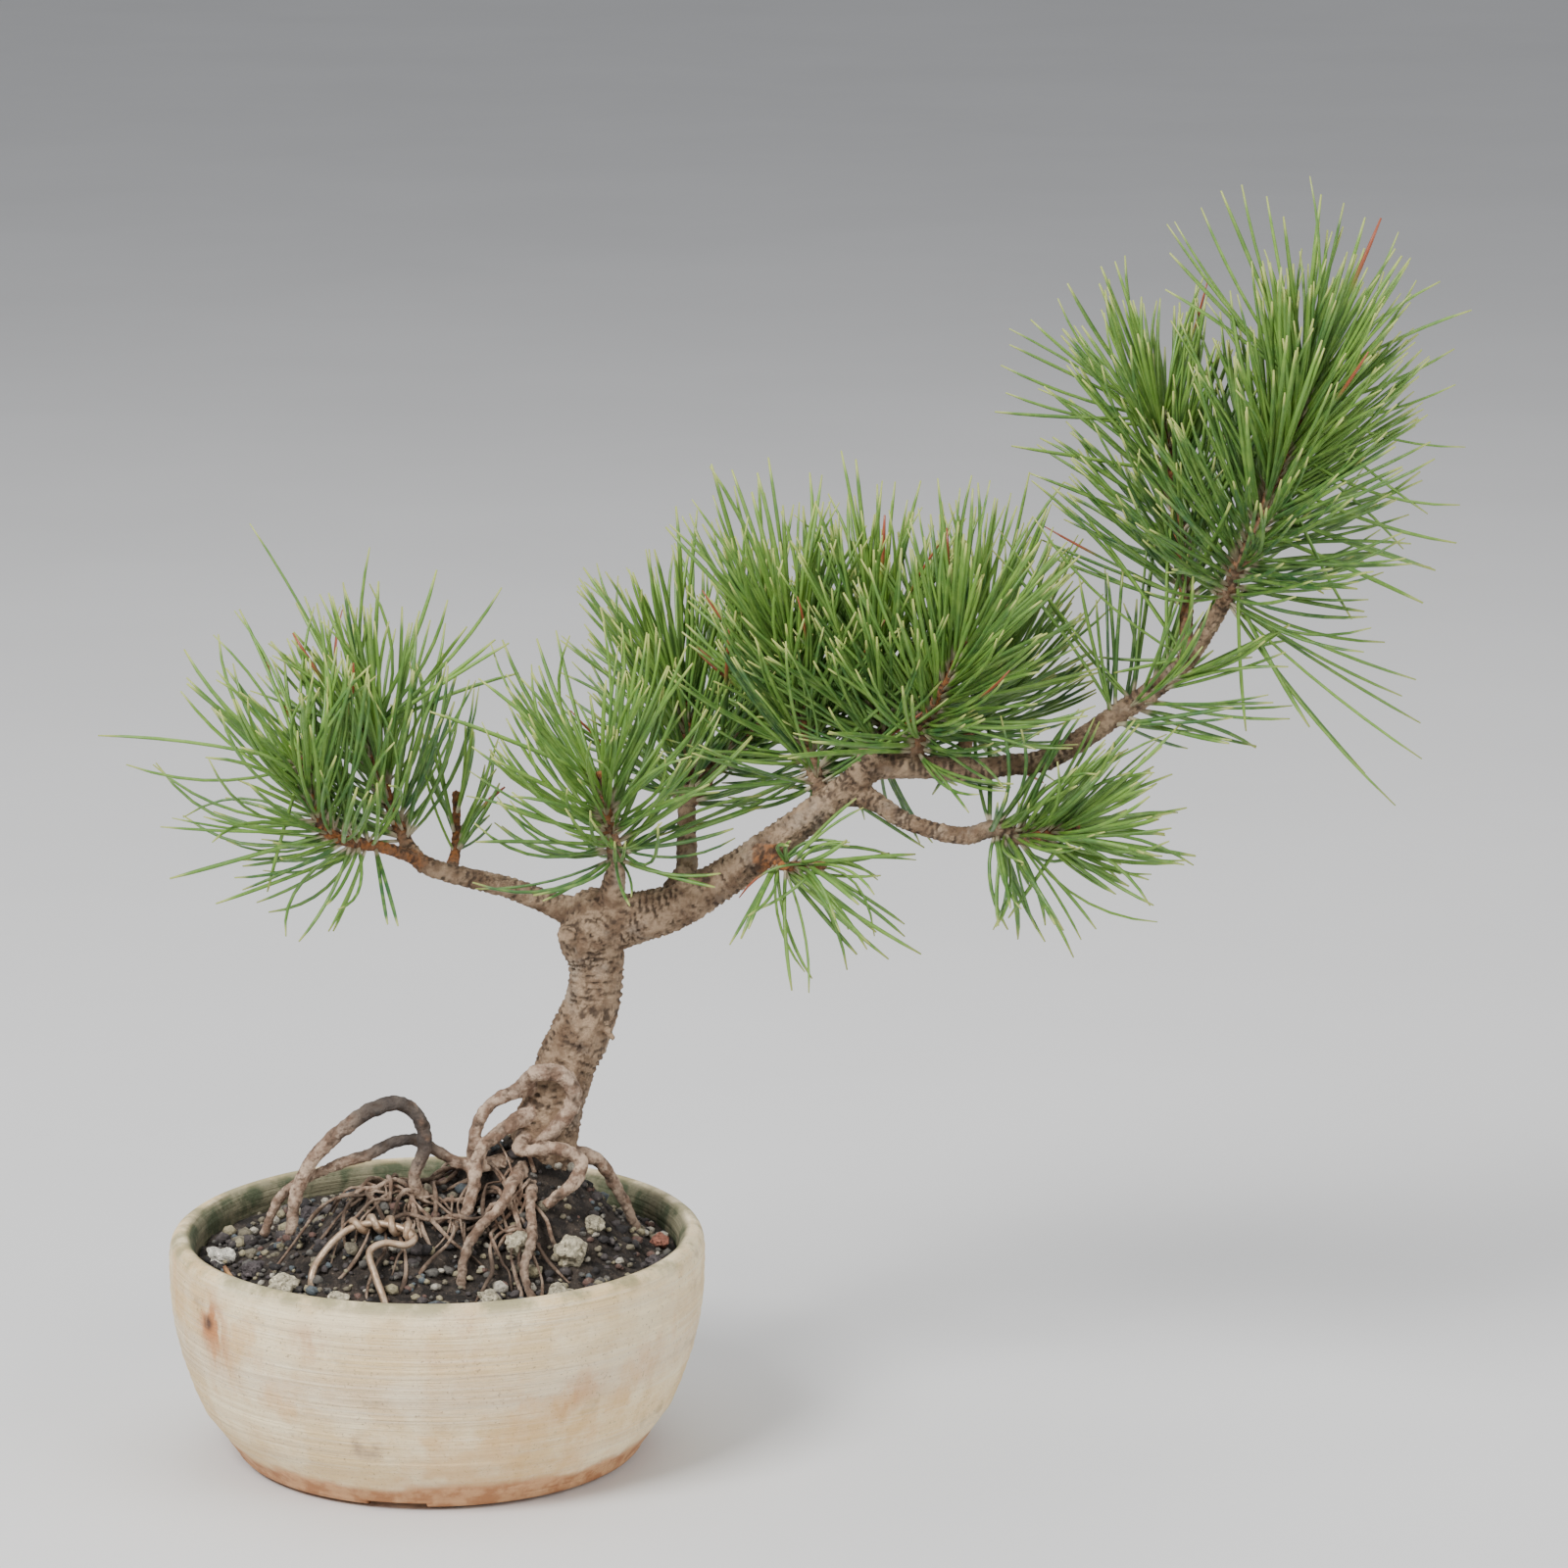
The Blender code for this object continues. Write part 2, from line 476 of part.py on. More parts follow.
def needle_goals(faces, twig, chance, habit):
    """Each needle's face on the sleeve, its direction there and its tip, the outline's own tips first."""
    length, wide, narrow, lift, outline = habit
    centres = np.array([face.calc_center_median() for face in faces])
    normals = np.array([face.normal for face in faces])
    shares = np.array([np.argmin(np.linalg.norm(twig[:, :3] - c, axis=1)) for c in centres]) / (len(twig) - 1)
    used = set()
    for tip in np.array(outline, float).reshape(-1, 3):
        reach = np.linalg.norm(tip - centres, axis=1)
        near = reach - np.sum(normals * (tip - centres), axis=1) / reach * 14
        near[list(used)] = 9999
        pick = int(np.argmin(near))
        used.add(pick)
        way = (tip - centres[pick]) / reach[pick] + normals[pick] * 0.5
        yield faces[pick], way, tip
    free = [k for k in range(len(faces)) if k not in used]
    chance.shuffle(free)
    for k in free:
        step = min(len(twig) - 2, max(1, round(shares[k] * (len(twig) - 1))))
        axis = twig[step + 1][:3] - twig[step - 1][:3]
        angle = math.radians(wide + (narrow - wide) * shares[k] + chance.uniform(-8, 8))
        way = axis / np.linalg.norm(axis) * math.cos(angle) + normals[k] * math.sin(angle)
        reach = length * chance.uniform(0.85, 1.05)
        yield faces[k], way, centres[k] + way * reach + np.array([0, 0, lift * math.sin(angle)])


def make_sleeve(twig):
    """A short tube just clear of the twig, with the faces of its outside."""
    outside = np.array(twig)
    outside[:, 3] = (twig[:, 3] + 1.5 * CLEARANCE + SLEEVE_WALL) / math.cos(math.pi / SLEEVE_SIDES)
    bm = tubes([outside], SLEEVE_SIDES, caps=False)
    bmesh.ops.solidify(bm, geom=list(bm.faces), thickness=SLEEVE_WALL)
    bmesh.ops.recalc_face_normals(bm, faces=bm.faces)
    middle = (outside[:, 3] - SLEEVE_WALL / 2).mean()
    faces = []
    for face in bm.faces:
        centre = np.array(face.calc_center_median())
        nearest = outside[np.argmin(np.linalg.norm(outside[:, :3] - centre, axis=1)), :3]
        if np.array(face.normal) @ (centre - nearest) > 0.5 * middle:
            faces.append(face)
    return bm, faces, outside


def make_shoot(name, shoot, taken):
    """A sleeve round the twig with its needles drawn out of it, clear of all that is there already."""
    points, start, count, *habit = shoot
    twig = wood_route(points, TWIG_STEP)
    twig = twig[int(len(twig) * start):-2]
    bm, faces, outside = make_sleeve(twig)
    paths = []
    for face, way, tip in needle_goals(faces, twig, random.Random(name), habit):
        path = bent_needle(np.array(face.calc_center_median()), way, tip)
        own = np.vstack([dense(other) for other in paths]) if paths else []
        if len(paths) < count + len(habit[-1]) and clear_of(path, taken, own):
            grow_needle(bm, face, path)
            paths.append(path)
    print(name, len(paths), "of", count + len(habit[-1]))
    add_object(name, mesh_from(bm, name), "needle")
    taken["points"] = np.vstack([taken["points"], *map(dense, paths), outside[:, :3]])
    taken["radii"] = np.concatenate([taken["radii"], np.zeros(SPOTS * len(paths)), outside[:, 3] + 0.5])


def make_wire():
    route = smooth_route([(*point, WIRE_DIAMETER / 2) for point in WIRE], 3.5)
    add_object("tie_wire", mesh_from(tubes([route], 6), "tie_wire"), "wire")
    return tubes([grown(route, 6)], 6)


def make_fallen_needles():
    for name, points in FALLEN_NEEDLES.items():
        lie = NEEDLE_RADII[1] + 2 * CLEARANCE
        route = smooth_route([(x, y, soil_height(x, y) + lie, NEEDLE_RADII[1]) for x, y in points], 5)
        add_object(name, mesh_from(tubes([route], 5), name), "needle" if name.endswith("green") else "straw")


def main():
    clear_scene()
    make_pot()
    grids = [make_drain_mesh(k, x, y) for k, (x, y) in enumerate(DRAIN_CENTRES, start=1)]
    twigs = [LEADER, SECOND_LEADER, LEFT_BRANCH, LOW_LEFT_TWIG, LEFT_TWIG, UPRIGHT_SHOOT, REAR_BRANCH, REAR_TWIG,
             PAD_LEFT, PAD_MIDDLE, PAD_RIGHT, PAD_REAR, LOW_RIGHT_BRANCH, UNDER_TWIG]
    limbs = [wood_route(points, TWIG_STEP) for points in twigs]
    make_wood([*limbs, *[wood_route(points) for points in [*ROOTS, TRUNK_KNOT]]])
    trunk_pocket = tubes([grown(wood_route(TRUNK), 10)], 10)
    root_pockets = tubes([grown(wood_route(points), 6) for points in ROOTS], 6)
    make_soil([trunk_pocket, root_pockets, make_wire(), *grids, *make_stones()])
    wood = np.vstack([wood_route(points, 2) for points in [TRUNK, *twigs]])
    taken = {"points": np.full((1, 3), 9999.0), "radii": np.zeros(1), "wood": wood}
    for name, shoot in SHOOTS.items():
        make_shoot(name, shoot, taken)
    make_fallen_needles()


main()
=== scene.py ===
# %% [markdown]
# # A mountain pine bonsai in a round stoneware pot
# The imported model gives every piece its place. This script keeps that frame and makes the surfaces that a
# visitor sees: thrown clay, bark, bare roots, gritty soil and two-needle tufts. Lengths are typed in
# millimetres, because that is how a potted tree is measured, and turned into metres when a mesh is made.

import math
import random
from collections import namedtuple

import bmesh
import bpy
import numpy as np
from mathutils import Matrix, Vector, kdtree, noise


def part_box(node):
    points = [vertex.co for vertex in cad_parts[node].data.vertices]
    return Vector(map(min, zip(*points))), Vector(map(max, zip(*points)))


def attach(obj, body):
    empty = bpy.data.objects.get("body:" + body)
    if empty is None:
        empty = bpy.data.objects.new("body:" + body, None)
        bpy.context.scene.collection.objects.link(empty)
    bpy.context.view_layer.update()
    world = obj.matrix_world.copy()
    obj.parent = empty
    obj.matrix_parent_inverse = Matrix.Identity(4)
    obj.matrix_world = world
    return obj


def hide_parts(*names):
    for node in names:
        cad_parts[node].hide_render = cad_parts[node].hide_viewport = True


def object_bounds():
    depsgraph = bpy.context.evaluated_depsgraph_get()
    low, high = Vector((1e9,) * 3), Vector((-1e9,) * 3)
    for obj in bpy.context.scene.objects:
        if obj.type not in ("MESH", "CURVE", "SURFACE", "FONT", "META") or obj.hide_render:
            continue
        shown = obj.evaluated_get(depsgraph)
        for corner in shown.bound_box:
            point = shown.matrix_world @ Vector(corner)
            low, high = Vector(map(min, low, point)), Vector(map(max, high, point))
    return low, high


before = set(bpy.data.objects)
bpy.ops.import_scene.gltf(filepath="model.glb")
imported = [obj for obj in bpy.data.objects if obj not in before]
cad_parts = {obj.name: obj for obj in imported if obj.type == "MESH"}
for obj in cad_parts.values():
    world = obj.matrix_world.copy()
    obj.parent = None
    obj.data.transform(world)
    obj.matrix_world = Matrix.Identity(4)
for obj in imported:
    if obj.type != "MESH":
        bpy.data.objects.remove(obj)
CAD_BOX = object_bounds()
MM = 0.001
print("nodes in the frame:", len(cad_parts))

# %% [markdown]
# ## Helpers for pieces
# A piece is built in a bmesh, scaled to metres at the end, and then added: it rides on the root body, the
# plain nodes it stands for are hidden and it takes its finish. One function does that, so no piece is
# forgotten.


# %% Making a piece
def add_piece(name, mesh, material, nodes=()):
    obj = bpy.data.objects.new(name, mesh)
    bpy.context.scene.collection.objects.link(obj)
    mesh.materials.clear()
    mesh.materials.append(material)
    mesh.shade_smooth()
    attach(obj, "root")
    if nodes:
        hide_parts(*nodes)
    print(name, "has", len(mesh.polygons), "faces")
    return obj


def to_mesh(bm, name):
    bmesh.ops.recalc_face_normals(bm, faces=bm.faces)
    bmesh.ops.scale(bm, vec=(MM, MM, MM), verts=bm.verts)
    mesh = bpy.data.meshes.new(name)
    bm.to_mesh(mesh)
    bm.free()
    return mesh


def evaluated(obj):
    """The mesh an object shows with its modifiers or its bevel; the object itself goes."""
    mesh = bpy.data.meshes.new_from_object(obj.evaluated_get(bpy.context.evaluated_depsgraph_get()))
    bpy.data.objects.remove(obj)
    return mesh


# %% [markdown]
# ## Helpers for routes
# Branches, roots and wire are a few listed points with a diameter. They could be Bezier curves, but a
# list of points is easier to read. A Catmull-Rom curve through them bends as wood does, and a curve object
# with a round bevel gives it a skin.


# %% Routes and tubes
def smooth_route(points, step):
    """Points along a smooth curve; every column, also the last one, runs smoothly."""
    knots = np.array([points[0], *points, points[-1]], float)
    knots[0] = 2 * knots[1] - knots[2]
    knots[-1] = 2 * knots[-2] - knots[-3]
    run = []
    for a, b, c, d in zip(knots, knots[1:], knots[2:], knots[3:]):
        count = max(1, round(np.linalg.norm((c - b)[:3]) / step))
        for t in np.arange(count) / count:
            run.append(0.5 * (2 * b + (c - a) * t + (2 * a - 5 * b + 4 * c - d) * t**2
                              + (3 * b - a - 3 * c + d) * t**3))
    run.append(knots[-2])
    return np.array(run)


def tubes(routes, resolution=3):
    """Closed round tubes; the fourth column of a route is the diameter."""
    curve = bpy.data.curves.new("routes", "CURVE")
    curve.dimensions = "3D"
    curve.bevel_depth = 1.0
    curve.bevel_resolution = resolution
    curve.use_fill_caps = True
    for run in routes:
        spline = curve.splines.new("POLY")
        spline.points.add(len(run) - 1)
        for point, (x, y, z, wide) in zip(spline.points, run):
            point.co = (x, y, z, 1)
            point.radius = wide / 2
    holder = bpy.data.objects.new("routes", curve)
    bpy.context.scene.collection.objects.link(holder)
    mesh = evaluated(holder)
    bm = bmesh.new()
    bm.from_mesh(mesh)
    bpy.data.meshes.remove(mesh)
    bmesh.ops.remove_doubles(bm, verts=bm.verts, dist=1e-4)
    return bm


# %% [markdown]
# ## Helpers for materials
# Two effects turn up in every finish here: a soft mottle, from noise that can be stretched along an axis, and
# a spot, which fades out round a point. Each is a node group that gives a mask from 0 to 1, built once and
# placed in each material with its own values.


# %% Mask groups
def group_with(name, sockets):
    group = bpy.data.node_groups.new(name, "ShaderNodeTree")
    for label, kind, value in sockets:
        socket = group.interface.new_socket(label, in_out="INPUT", socket_type=kind)
        socket.default_value = value
    group.interface.new_socket("Mask", in_out="OUTPUT", socket_type="NodeSocketFloat")
    return group, group.nodes.new("NodeGroupInput"), group.nodes.new("NodeGroupOutput")


def map_range(tree, value, low, high):
    """A clamped smooth step of value from low to high; each may be a socket or a number."""
    node = tree.nodes.new("ShaderNodeMapRange")
    node.interpolation_type = "SMOOTHSTEP"
    for source, target in ((value, 0), (low, 1), (high, 2)):
        if isinstance(source, (int, float)):
            node.inputs[target].default_value = source
        else:
            tree.links.new(source, node.inputs[target])
    return node.outputs[0]


def make_mottle():
    group, given, out = group_with("mottle", [
        ("Scale", "NodeSocketFloat", 100.0), ("Low", "NodeSocketFloat", 0.4),
        ("High", "NodeSocketFloat", 0.6), ("Stretch", "NodeSocketVector", (1, 1, 1)),
        ("Shift", "NodeSocketVector", (0, 0, 0))])
    place = group.nodes.new("ShaderNodeTexCoord")
    mapping = group.nodes.new("ShaderNodeMapping")
    grain = group.nodes.new("ShaderNodeTexNoise")
    grain.inputs["Detail"].default_value = 5
    grain.inputs["Roughness"].default_value = 0.6
    group.links.new(place.outputs["Object"], mapping.inputs["Vector"])
    group.links.new(given.outputs["Stretch"], mapping.inputs["Scale"])
    group.links.new(given.outputs["Shift"], mapping.inputs["Location"])
    group.links.new(mapping.outputs[0], grain.inputs["Vector"])
    group.links.new(given.outputs["Scale"], grain.inputs["Scale"])
    mask = map_range(group, grain.outputs["Fac"], given.outputs["Low"], given.outputs["High"])
    group.links.new(mask, out.inputs[0])
    return group


def make_spot():
    group, given, out = group_with("spot", [
        ("Centre", "NodeSocketVector", (0, 0, 0)), ("Radius", "NodeSocketFloat", 0.01),
        ("Feather", "NodeSocketFloat", 0.005)])
    place = group.nodes.new("ShaderNodeTexCoord")
    away = group.nodes.new("ShaderNodeVectorMath")
    away.operation = "DISTANCE"
    group.links.new(place.outputs["Object"], away.inputs[0])
    group.links.new(given.outputs["Centre"], away.inputs[1])
    edge = group.nodes.new("ShaderNodeMath")
    group.links.new(given.outputs["Radius"], edge.inputs[0])
    group.links.new(given.outputs["Feather"], edge.inputs[1])
    mask = map_range(group, away.outputs["Value"], edge.outputs[0], given.outputs["Radius"])
    group.links.new(mask, out.inputs[0])
    return group


MOTTLE = make_mottle()
SPOT = make_spot()
print("mask groups:", MOTTLE.name, "and", SPOT.name)


# %% [markdown]
# ## A small vocabulary for finishes
# Mixing colours by masks is all these finishes need, so a few short functions stand for the nodes. Written
# out node by node, each finish would be ten times as long and no clearer.


# %% Finish vocabulary
class Finish:
    """One Principled material and the nodes that feed it."""

    def __init__(self, name, roughness=0.8, metallic=0.0):
        self.material = bpy.data.materials.new(name)
        self.material.use_nodes = True
        self.tree = self.material.node_tree
        self.shader = self.tree.nodes["Principled BSDF"]
        self.shader.inputs["Roughness"].default_value = roughness
        self.shader.inputs["Metallic"].default_value = metallic

    def feed(self, source, socket):
        if isinstance(source, tuple):
            socket.default_value = (*source, 1) if socket.type == "RGBA" else source
        elif isinstance(source, (int, float)):
            socket.default_value = source
        else:
            self.tree.links.new(source, socket)

    def masked(self, group, **values):
        node = self.tree.nodes.new("ShaderNodeGroup")
        node.node_tree = group
        for label, value in values.items():
            node.inputs[label].default_value = value
        return node.outputs[0]

    def mottle(self, scale, low=0.4, high=0.6, stretch=(1, 1, 1), shift=(0, 0, 0)):
        return self.masked(MOTTLE, Scale=scale, Low=low, High=high, Stretch=stretch, Shift=shift)

    def spot(self, centre, radius, feather):
        centre = tuple(value * MM for value in centre)
        return self.masked(SPOT, Centre=centre, Radius=radius * MM, Feather=feather * MM)

    def mix(self, factor, one, two):
        node = self.tree.nodes.new("ShaderNodeMix")
        node.data_type = "RGBA"
        self.feed(factor, node.inputs[0])
        self.feed(one, node.inputs[6])
        self.feed(two, node.inputs[7])
        return node.outputs[2]

    def combine(self, operation, one, two):
        node = self.tree.nodes.new("ShaderNodeMath")
        node.operation = operation
        self.feed(one, node.inputs[0])
        self.feed(two, node.inputs[1])
        return node.outputs[0]

    def times(self, one, two):
        return self.combine("MULTIPLY", one, two)

    def wash(self, under, mask, strength, colour):
        """A thin coat of colour over what is there, where the mask is."""
        return self.mix(self.times(mask, strength), under, colour)

    def step(self, value, low, high):
        return map_range(self.tree, value, low, high)

    def place(self):
        split = self.tree.nodes.new("ShaderNodeSeparateXYZ")
        self.tree.links.new(self.tree.nodes.new("ShaderNodeTexCoord").outputs["Object"], split.inputs[0])
        return split.outputs

    def attribute(self, name):
        reader = self.tree.nodes.new("ShaderNodeAttribute")
        reader.attribute_name = name
        split = self.tree.nodes.new("ShaderNodeSeparateColor")
        self.tree.links.new(reader.outputs["Color"], split.inputs[0])
        return split.outputs

    def done(self, colour, roughness=None, height=None, depth=0.2):
        self.feed(colour, self.shader.inputs["Base Color"])
        if roughness is not None:
            self.feed(roughness, self.shader.inputs["Roughness"])
        if height is not None:
            bump = self.tree.nodes.new("ShaderNodeBump")
            bump.inputs["Distance"].default_value = depth * MM
            self.feed(height, bump.inputs["Height"])
            self.tree.links.new(bump.outputs[0], self.shader.inputs["Normal"])
        print(self.material.name, "has", len(self.tree.nodes), "nodes")
        return self.material


# %% [markdown]
# ## The pot
# The pot is thrown on a wheel. A Screw modifier could turn its section too, but bmesh's spin does it in one
# step and closes it at the axis. The potter's finger rings are part of the section, so they are real ridges.

# %% Pot section
POT = {"rim": 75.0, "height": 64.0, "inner": 68.0, "foot": 54.0, "foot_wide": 7.0, "floor": 10.0,
       "under": 2.5, "notch": 17.0, "drain": 8.0}
NOTCH_TURNS = [math.radians(-99 + 120 * k) for k in range(3)]
DRAINS = [(-24.0, -14.0), (24.0, 14.0)]


def pot_section():
    rim, top, foot, inner = POT["rim"], POT["height"], POT["foot"], POT["inner"]
    outer = [(foot - 1.0, 0), (foot + 2.6, 1.5), (58.4, 4.2), (59.5, 5.6), (63.2, 11), (67, 16.7),
             (71.1, 27.7), (73.3, 36), (74.6, 45), (rim, 52), (rim, 59), (74.4, 61.8), (73, 63.6),
             (71.6, top), (70.2, 63.6), (68.9, 62.2), (inner, 59.5), (inner, 50)]
    fine = smooth_route([(r, 0, z, 0) for r, z in outer], 1.1)
    ringed = [(r + 0.11 * math.sin(z * 2.1) * (8 < z < 60) + 0.07 * math.sin(z * 5.3 + 1), max(0, z))
              for r, _, z, _ in fine]
    inside = [(67.4, 42), (66.3, 36), (63, 24), (56, 14), (50, POT["floor"]), (0, POT["floor"])]
    ring_foot = foot - POT["foot_wide"]
    under = [(0, POT["under"]), (ring_foot - 1, POT["under"]), (ring_foot, 0)]
    return under + ringed + inside


def turned(section, steps):
    """A section of radius and height, turned once round the upright axis."""
    bm = bmesh.new()
    verts = [bm.verts.new((r, 0, z)) for r, z in section]
    edges = [bm.edges.new(pair) for pair in zip(verts, verts[1:])]
    bmesh.ops.spin(bm, geom=verts + edges, cent=(0, 0, 0), axis=(0, 0, 1), angle=2 * math.pi, steps=steps,
                   use_merge=True)
    bmesh.ops.remove_doubles(bm, verts=bm.verts, dist=1e-3)
    bmesh.ops.recalc_face_normals(bm, faces=bm.faces)
    return bm


print("points in the pot's section:", len(pot_section()))

# %% [markdown]
# ## Notches and drain holes
# Three notches in the foot let water run off, and two holes drain the soil. They are cut out of the turned
# body with a Boolean, as a potter cuts them out of leather-hard clay. The wall gets a slight swell, because
# no pot keeps perfectly round in the kiln.


# %% Turn the pot and cut it
def cut_away(bm, cutters, name):
    """The body less its cutters, still in millimetres."""
    whole = bpy.data.meshes.new(name)
    bm.to_mesh(whole)
    bm.free()
    body = bpy.data.objects.new(name, whole)
    tool = bpy.data.objects.new("cutters", cutters)
    for obj in (body, tool):
        bpy.context.scene.collection.objects.link(obj)
    step = body.modifiers.new("cut", "BOOLEAN")
    step.operation = "DIFFERENCE"
    step.object = tool
    cut = bmesh.new()
    cut.from_mesh(evaluated(body))
    bpy.data.objects.remove(tool)
    return cut


def pot_cutters():
    bm = bmesh.new()
    for turn in NOTCH_TURNS:
        made = bmesh.ops.create_cube(bm, size=1)["verts"]
        bmesh.ops.scale(bm, vec=(30, POT["notch"], 5), verts=made)
        bmesh.ops.translate(bm, vec=(POT["foot"], 0, 0), verts=made)
        bmesh.ops.rotate(bm, cent=(0, 0, 0), matrix=Matrix.Rotation(turn, 3, "Z"), verts=made)
    for x, y in DRAINS:
        made = bmesh.ops.create_cone(bm, cap_ends=True, segments=32, radius1=POT["drain"],
                                     radius2=POT["drain"], depth=30)["verts"]
        bmesh.ops.translate(bm, vec=(x, y, 4), verts=made)
    mesh = bpy.data.meshes.new("cutters")
    bm.to_mesh(mesh)
    bm.free()
    return mesh


def make_pot(material):
    flat_foot = 3
    bm = turned(pot_section(), steps=144)
    for vert in bm.verts:
        if vert.co.z > flat_foot:
            swell = noise.noise(vert.co * 0.02) * 0.5 + noise.noise(vert.co * 0.09) * 0.12
            vert.co.xy *= 1 + swell / POT["rim"]
    mesh = to_mesh(cut_away(bm, pot_cutters(), "pot"), "pot_turned")
    add_piece("pot_turned", mesh, material, ["pot"])


# %% [markdown]
# ## The clay's finish
# Cream slip lies over a brown clay. It is thin on the rings, stained where water ran down, bare at the foot
# and green with algae on the rim. Stains are spots broken up by mottle, so none has a drawn edge. Heights in
# a finish are in metres, as Object coordinates are.

# %% Clay
AMBER, RUST, SOOT = (0.56, 0.30, 0.14), (0.50, 0.20, 0.07), (0.10, 0.05, 0.03)
STAINS = [((-59, -45, 50), 9, RUST, 0.75), ((-56, -47, 41), 7, (0.55, 0.27, 0.11), 0.6),
          ((-60, -44, 50), 2.6, SOOT, 0.9), ((38, -61, 33), 7, (0.58, 0.30, 0.13), 0.6),
          ((44, -58, 38), 6, (0.62, 0.36, 0.18), 0.5), ((-16, -68, 22), 5, (0.32, 0.22, 0.15), 0.7),
          ((60, -42, 40), 8, (0.66, 0.40, 0.2), 0.4), ((-30, -66, 52), 7, AMBER, 0.45),
          ((10, -74, 54), 12, (0.64, 0.40, 0.22), 0.35), ((50, 50, 40), 12, AMBER, 0.5),
          ((-50, 52, 30), 10, AMBER, 0.5), ((74, 6, 30), 9, AMBER, 0.4)]
SLIP = {"thin": (0.76, 0.56, 0.29), "full": (0.90, 0.75, 0.48), "ring": (0.60, 0.46, 0.29),
        "streak": (0.88, 0.79, 0.62), "band": (0.52, 0.42, 0.36), "speck": (0.18, 0.10, 0.05),
        "smudge": (0.36, 0.25, 0.13), "amber": (0.66, 0.37, 0.13), "rim": (0.27, 0.245, 0.125)}
BARE_CLAY = [(0.42, 0.19, 0.08), (0.60, 0.34, 0.17)]
ALGAE = [(0.07, 0.085, 0.04), (0.22, 0.20, 0.12)]


def slip(f):
    """The cream coat with its wheel marks, stains and specks."""
    cream = f.mix(f.mottle(55, 0.38, 0.62), SLIP["thin"], SLIP["full"])
    cream = f.wash(cream, f.mottle(22, 0.45, 0.62, (0.7, 0.7, 16)), 0.38, SLIP["ring"])
    cream = f.wash(cream, f.mottle(30, 0.5, 0.68, (0.5, 0.5, 40), (3, 1, 2)), 0.35, SLIP["streak"])
    z = f.place()[2]
    cream = f.wash(cream, f.times(f.step(z, 0.026, 0.036), f.step(z, 0.048, 0.038)), 0.28, SLIP["band"])
    for centre, radius, colour, strength in STAINS:
        mask = f.times(f.spot(centre, radius * 0.3, radius), f.mottle(140, 0.35, 0.6, (1, 1, 0.5)))
        cream = f.wash(cream, mask, min(1, strength * 1.4), colour)
    cream = f.wash(cream, f.mottle(1100, 0.60, 0.68), 0.55, SLIP["speck"])
    cream = f.wash(cream, f.mottle(75, 0.6, 0.75, (1, 1, 1.6), (5, 5, 5)), 0.5, SLIP["smudge"])
    return f.wash(cream, f.mottle(34, 0.54, 0.68, (1, 1, 0.8), (11, 4, 8)), 0.55, SLIP["amber"])


def clay():
    f = Finish("clay_finish", 0.78)
    x, y, z = f.place()
    edge = f.combine("SUBTRACT", z, f.times(f.mottle(40), 0.0022))
    coat = f.mix(f.step(edge, 0.0085, 0.0055), slip(f), f.mix(f.mottle(160), *BARE_CLAY))
    coat = f.wash(coat, f.times(f.step(z, 0.0595, 0.0635), f.mottle(90, 0.36, 0.62)), 0.85, SLIP["rim"])
    far = f.combine("SQRT", f.combine("ADD", f.times(x, x), f.times(y, y)), 0.0)
    inside = f.times(f.step(far, 0.0712, 0.0690), f.step(z, 0.034, 0.044))
    coat = f.mix(inside, coat, f.mix(f.mottle(110), *ALGAE))
    grain = f.times(f.mottle(700, 0.3, 0.7), 0.35)
    return f.done(coat, None, f.combine("ADD", f.mottle(26, 0.2, 0.8, (0.6, 0.6, 30)), grain), 0.35)


make_pot(clay())

# %% [markdown]
# ## Soil
# The soil is a mound of dark earth. It could be a displaced plane, but a plane is open; turned like the pot,
# with a wall and a floor inside it, it is one closed body. Two soft mounds lift its top, and fractal noise
# makes the crumbs.

# %% Earth
SOIL_LEVEL = 56.5
SOIL_RADIUS = 67.2
MOUNDS = [(24, 1, 33, 17), (-16, -19, 22, 17)]


def soil_height(x, y):
    """Each mound is x, y, height and spread; both fade out within 14 mm of the wall."""
    rim = min(1.0, max(0.0, (POT["inner"] - math.hypot(x, y)) / 14))
    rise = sum(high * math.exp(-((x - cx)**2 + (y - cy)**2) / (2 * spread**2))
               for cx, cy, high, spread in MOUNDS)
    return SOIL_LEVEL + rim * rise


def earth():
    f = Finish("earth_finish", 0.95)
    dark = f.mix(f.mottle(260), (0.018, 0.013, 0.010), (0.065, 0.048, 0.036))
    dark = f.wash(dark, f.mottle(900, 0.6, 0.7), 0.6, (0.20, 0.15, 0.11))
    return f.done(dark, None, f.mottle(900, 0.3, 0.7), 0.8)


def make_soil(material):
    crumb, sunk = 1.6, 0.6
    top = [(r, SOIL_LEVEL) for r in np.arange(0, SOIL_RADIUS, 1.3)]
    wall = [(SOIL_RADIUS, SOIL_LEVEL), (SOIL_RADIUS, 48), (65.4, 36), (62, 24), (55, 14.4), (49, 10.6),
            (0, 10.6)]
    bm = turned(top + wall, steps=150)
    for vert in bm.verts:
        if vert.co.z > SOIL_LEVEL - 0.1:
            rough = noise.fractal(vert.co * 0.16, 0.9, 2.1, 5) * crumb
            vert.co.z = soil_height(vert.co.x, vert.co.y) - sunk + rough
    add_piece("earth_mound", to_mesh(bm, "earth_mound"), material, ["soil"])


make_soil(earth())

# %% [markdown]
# ## Grit
# A bonsai grows in grit more than in earth: lava, pumice and burnt clay in grains of a few millimetres. Each
# grain is a ball of twenty faces pushed out of round. All of them are one piece, and an attribute keeps each
# grain's own tone, so one finish serves the whole skin.

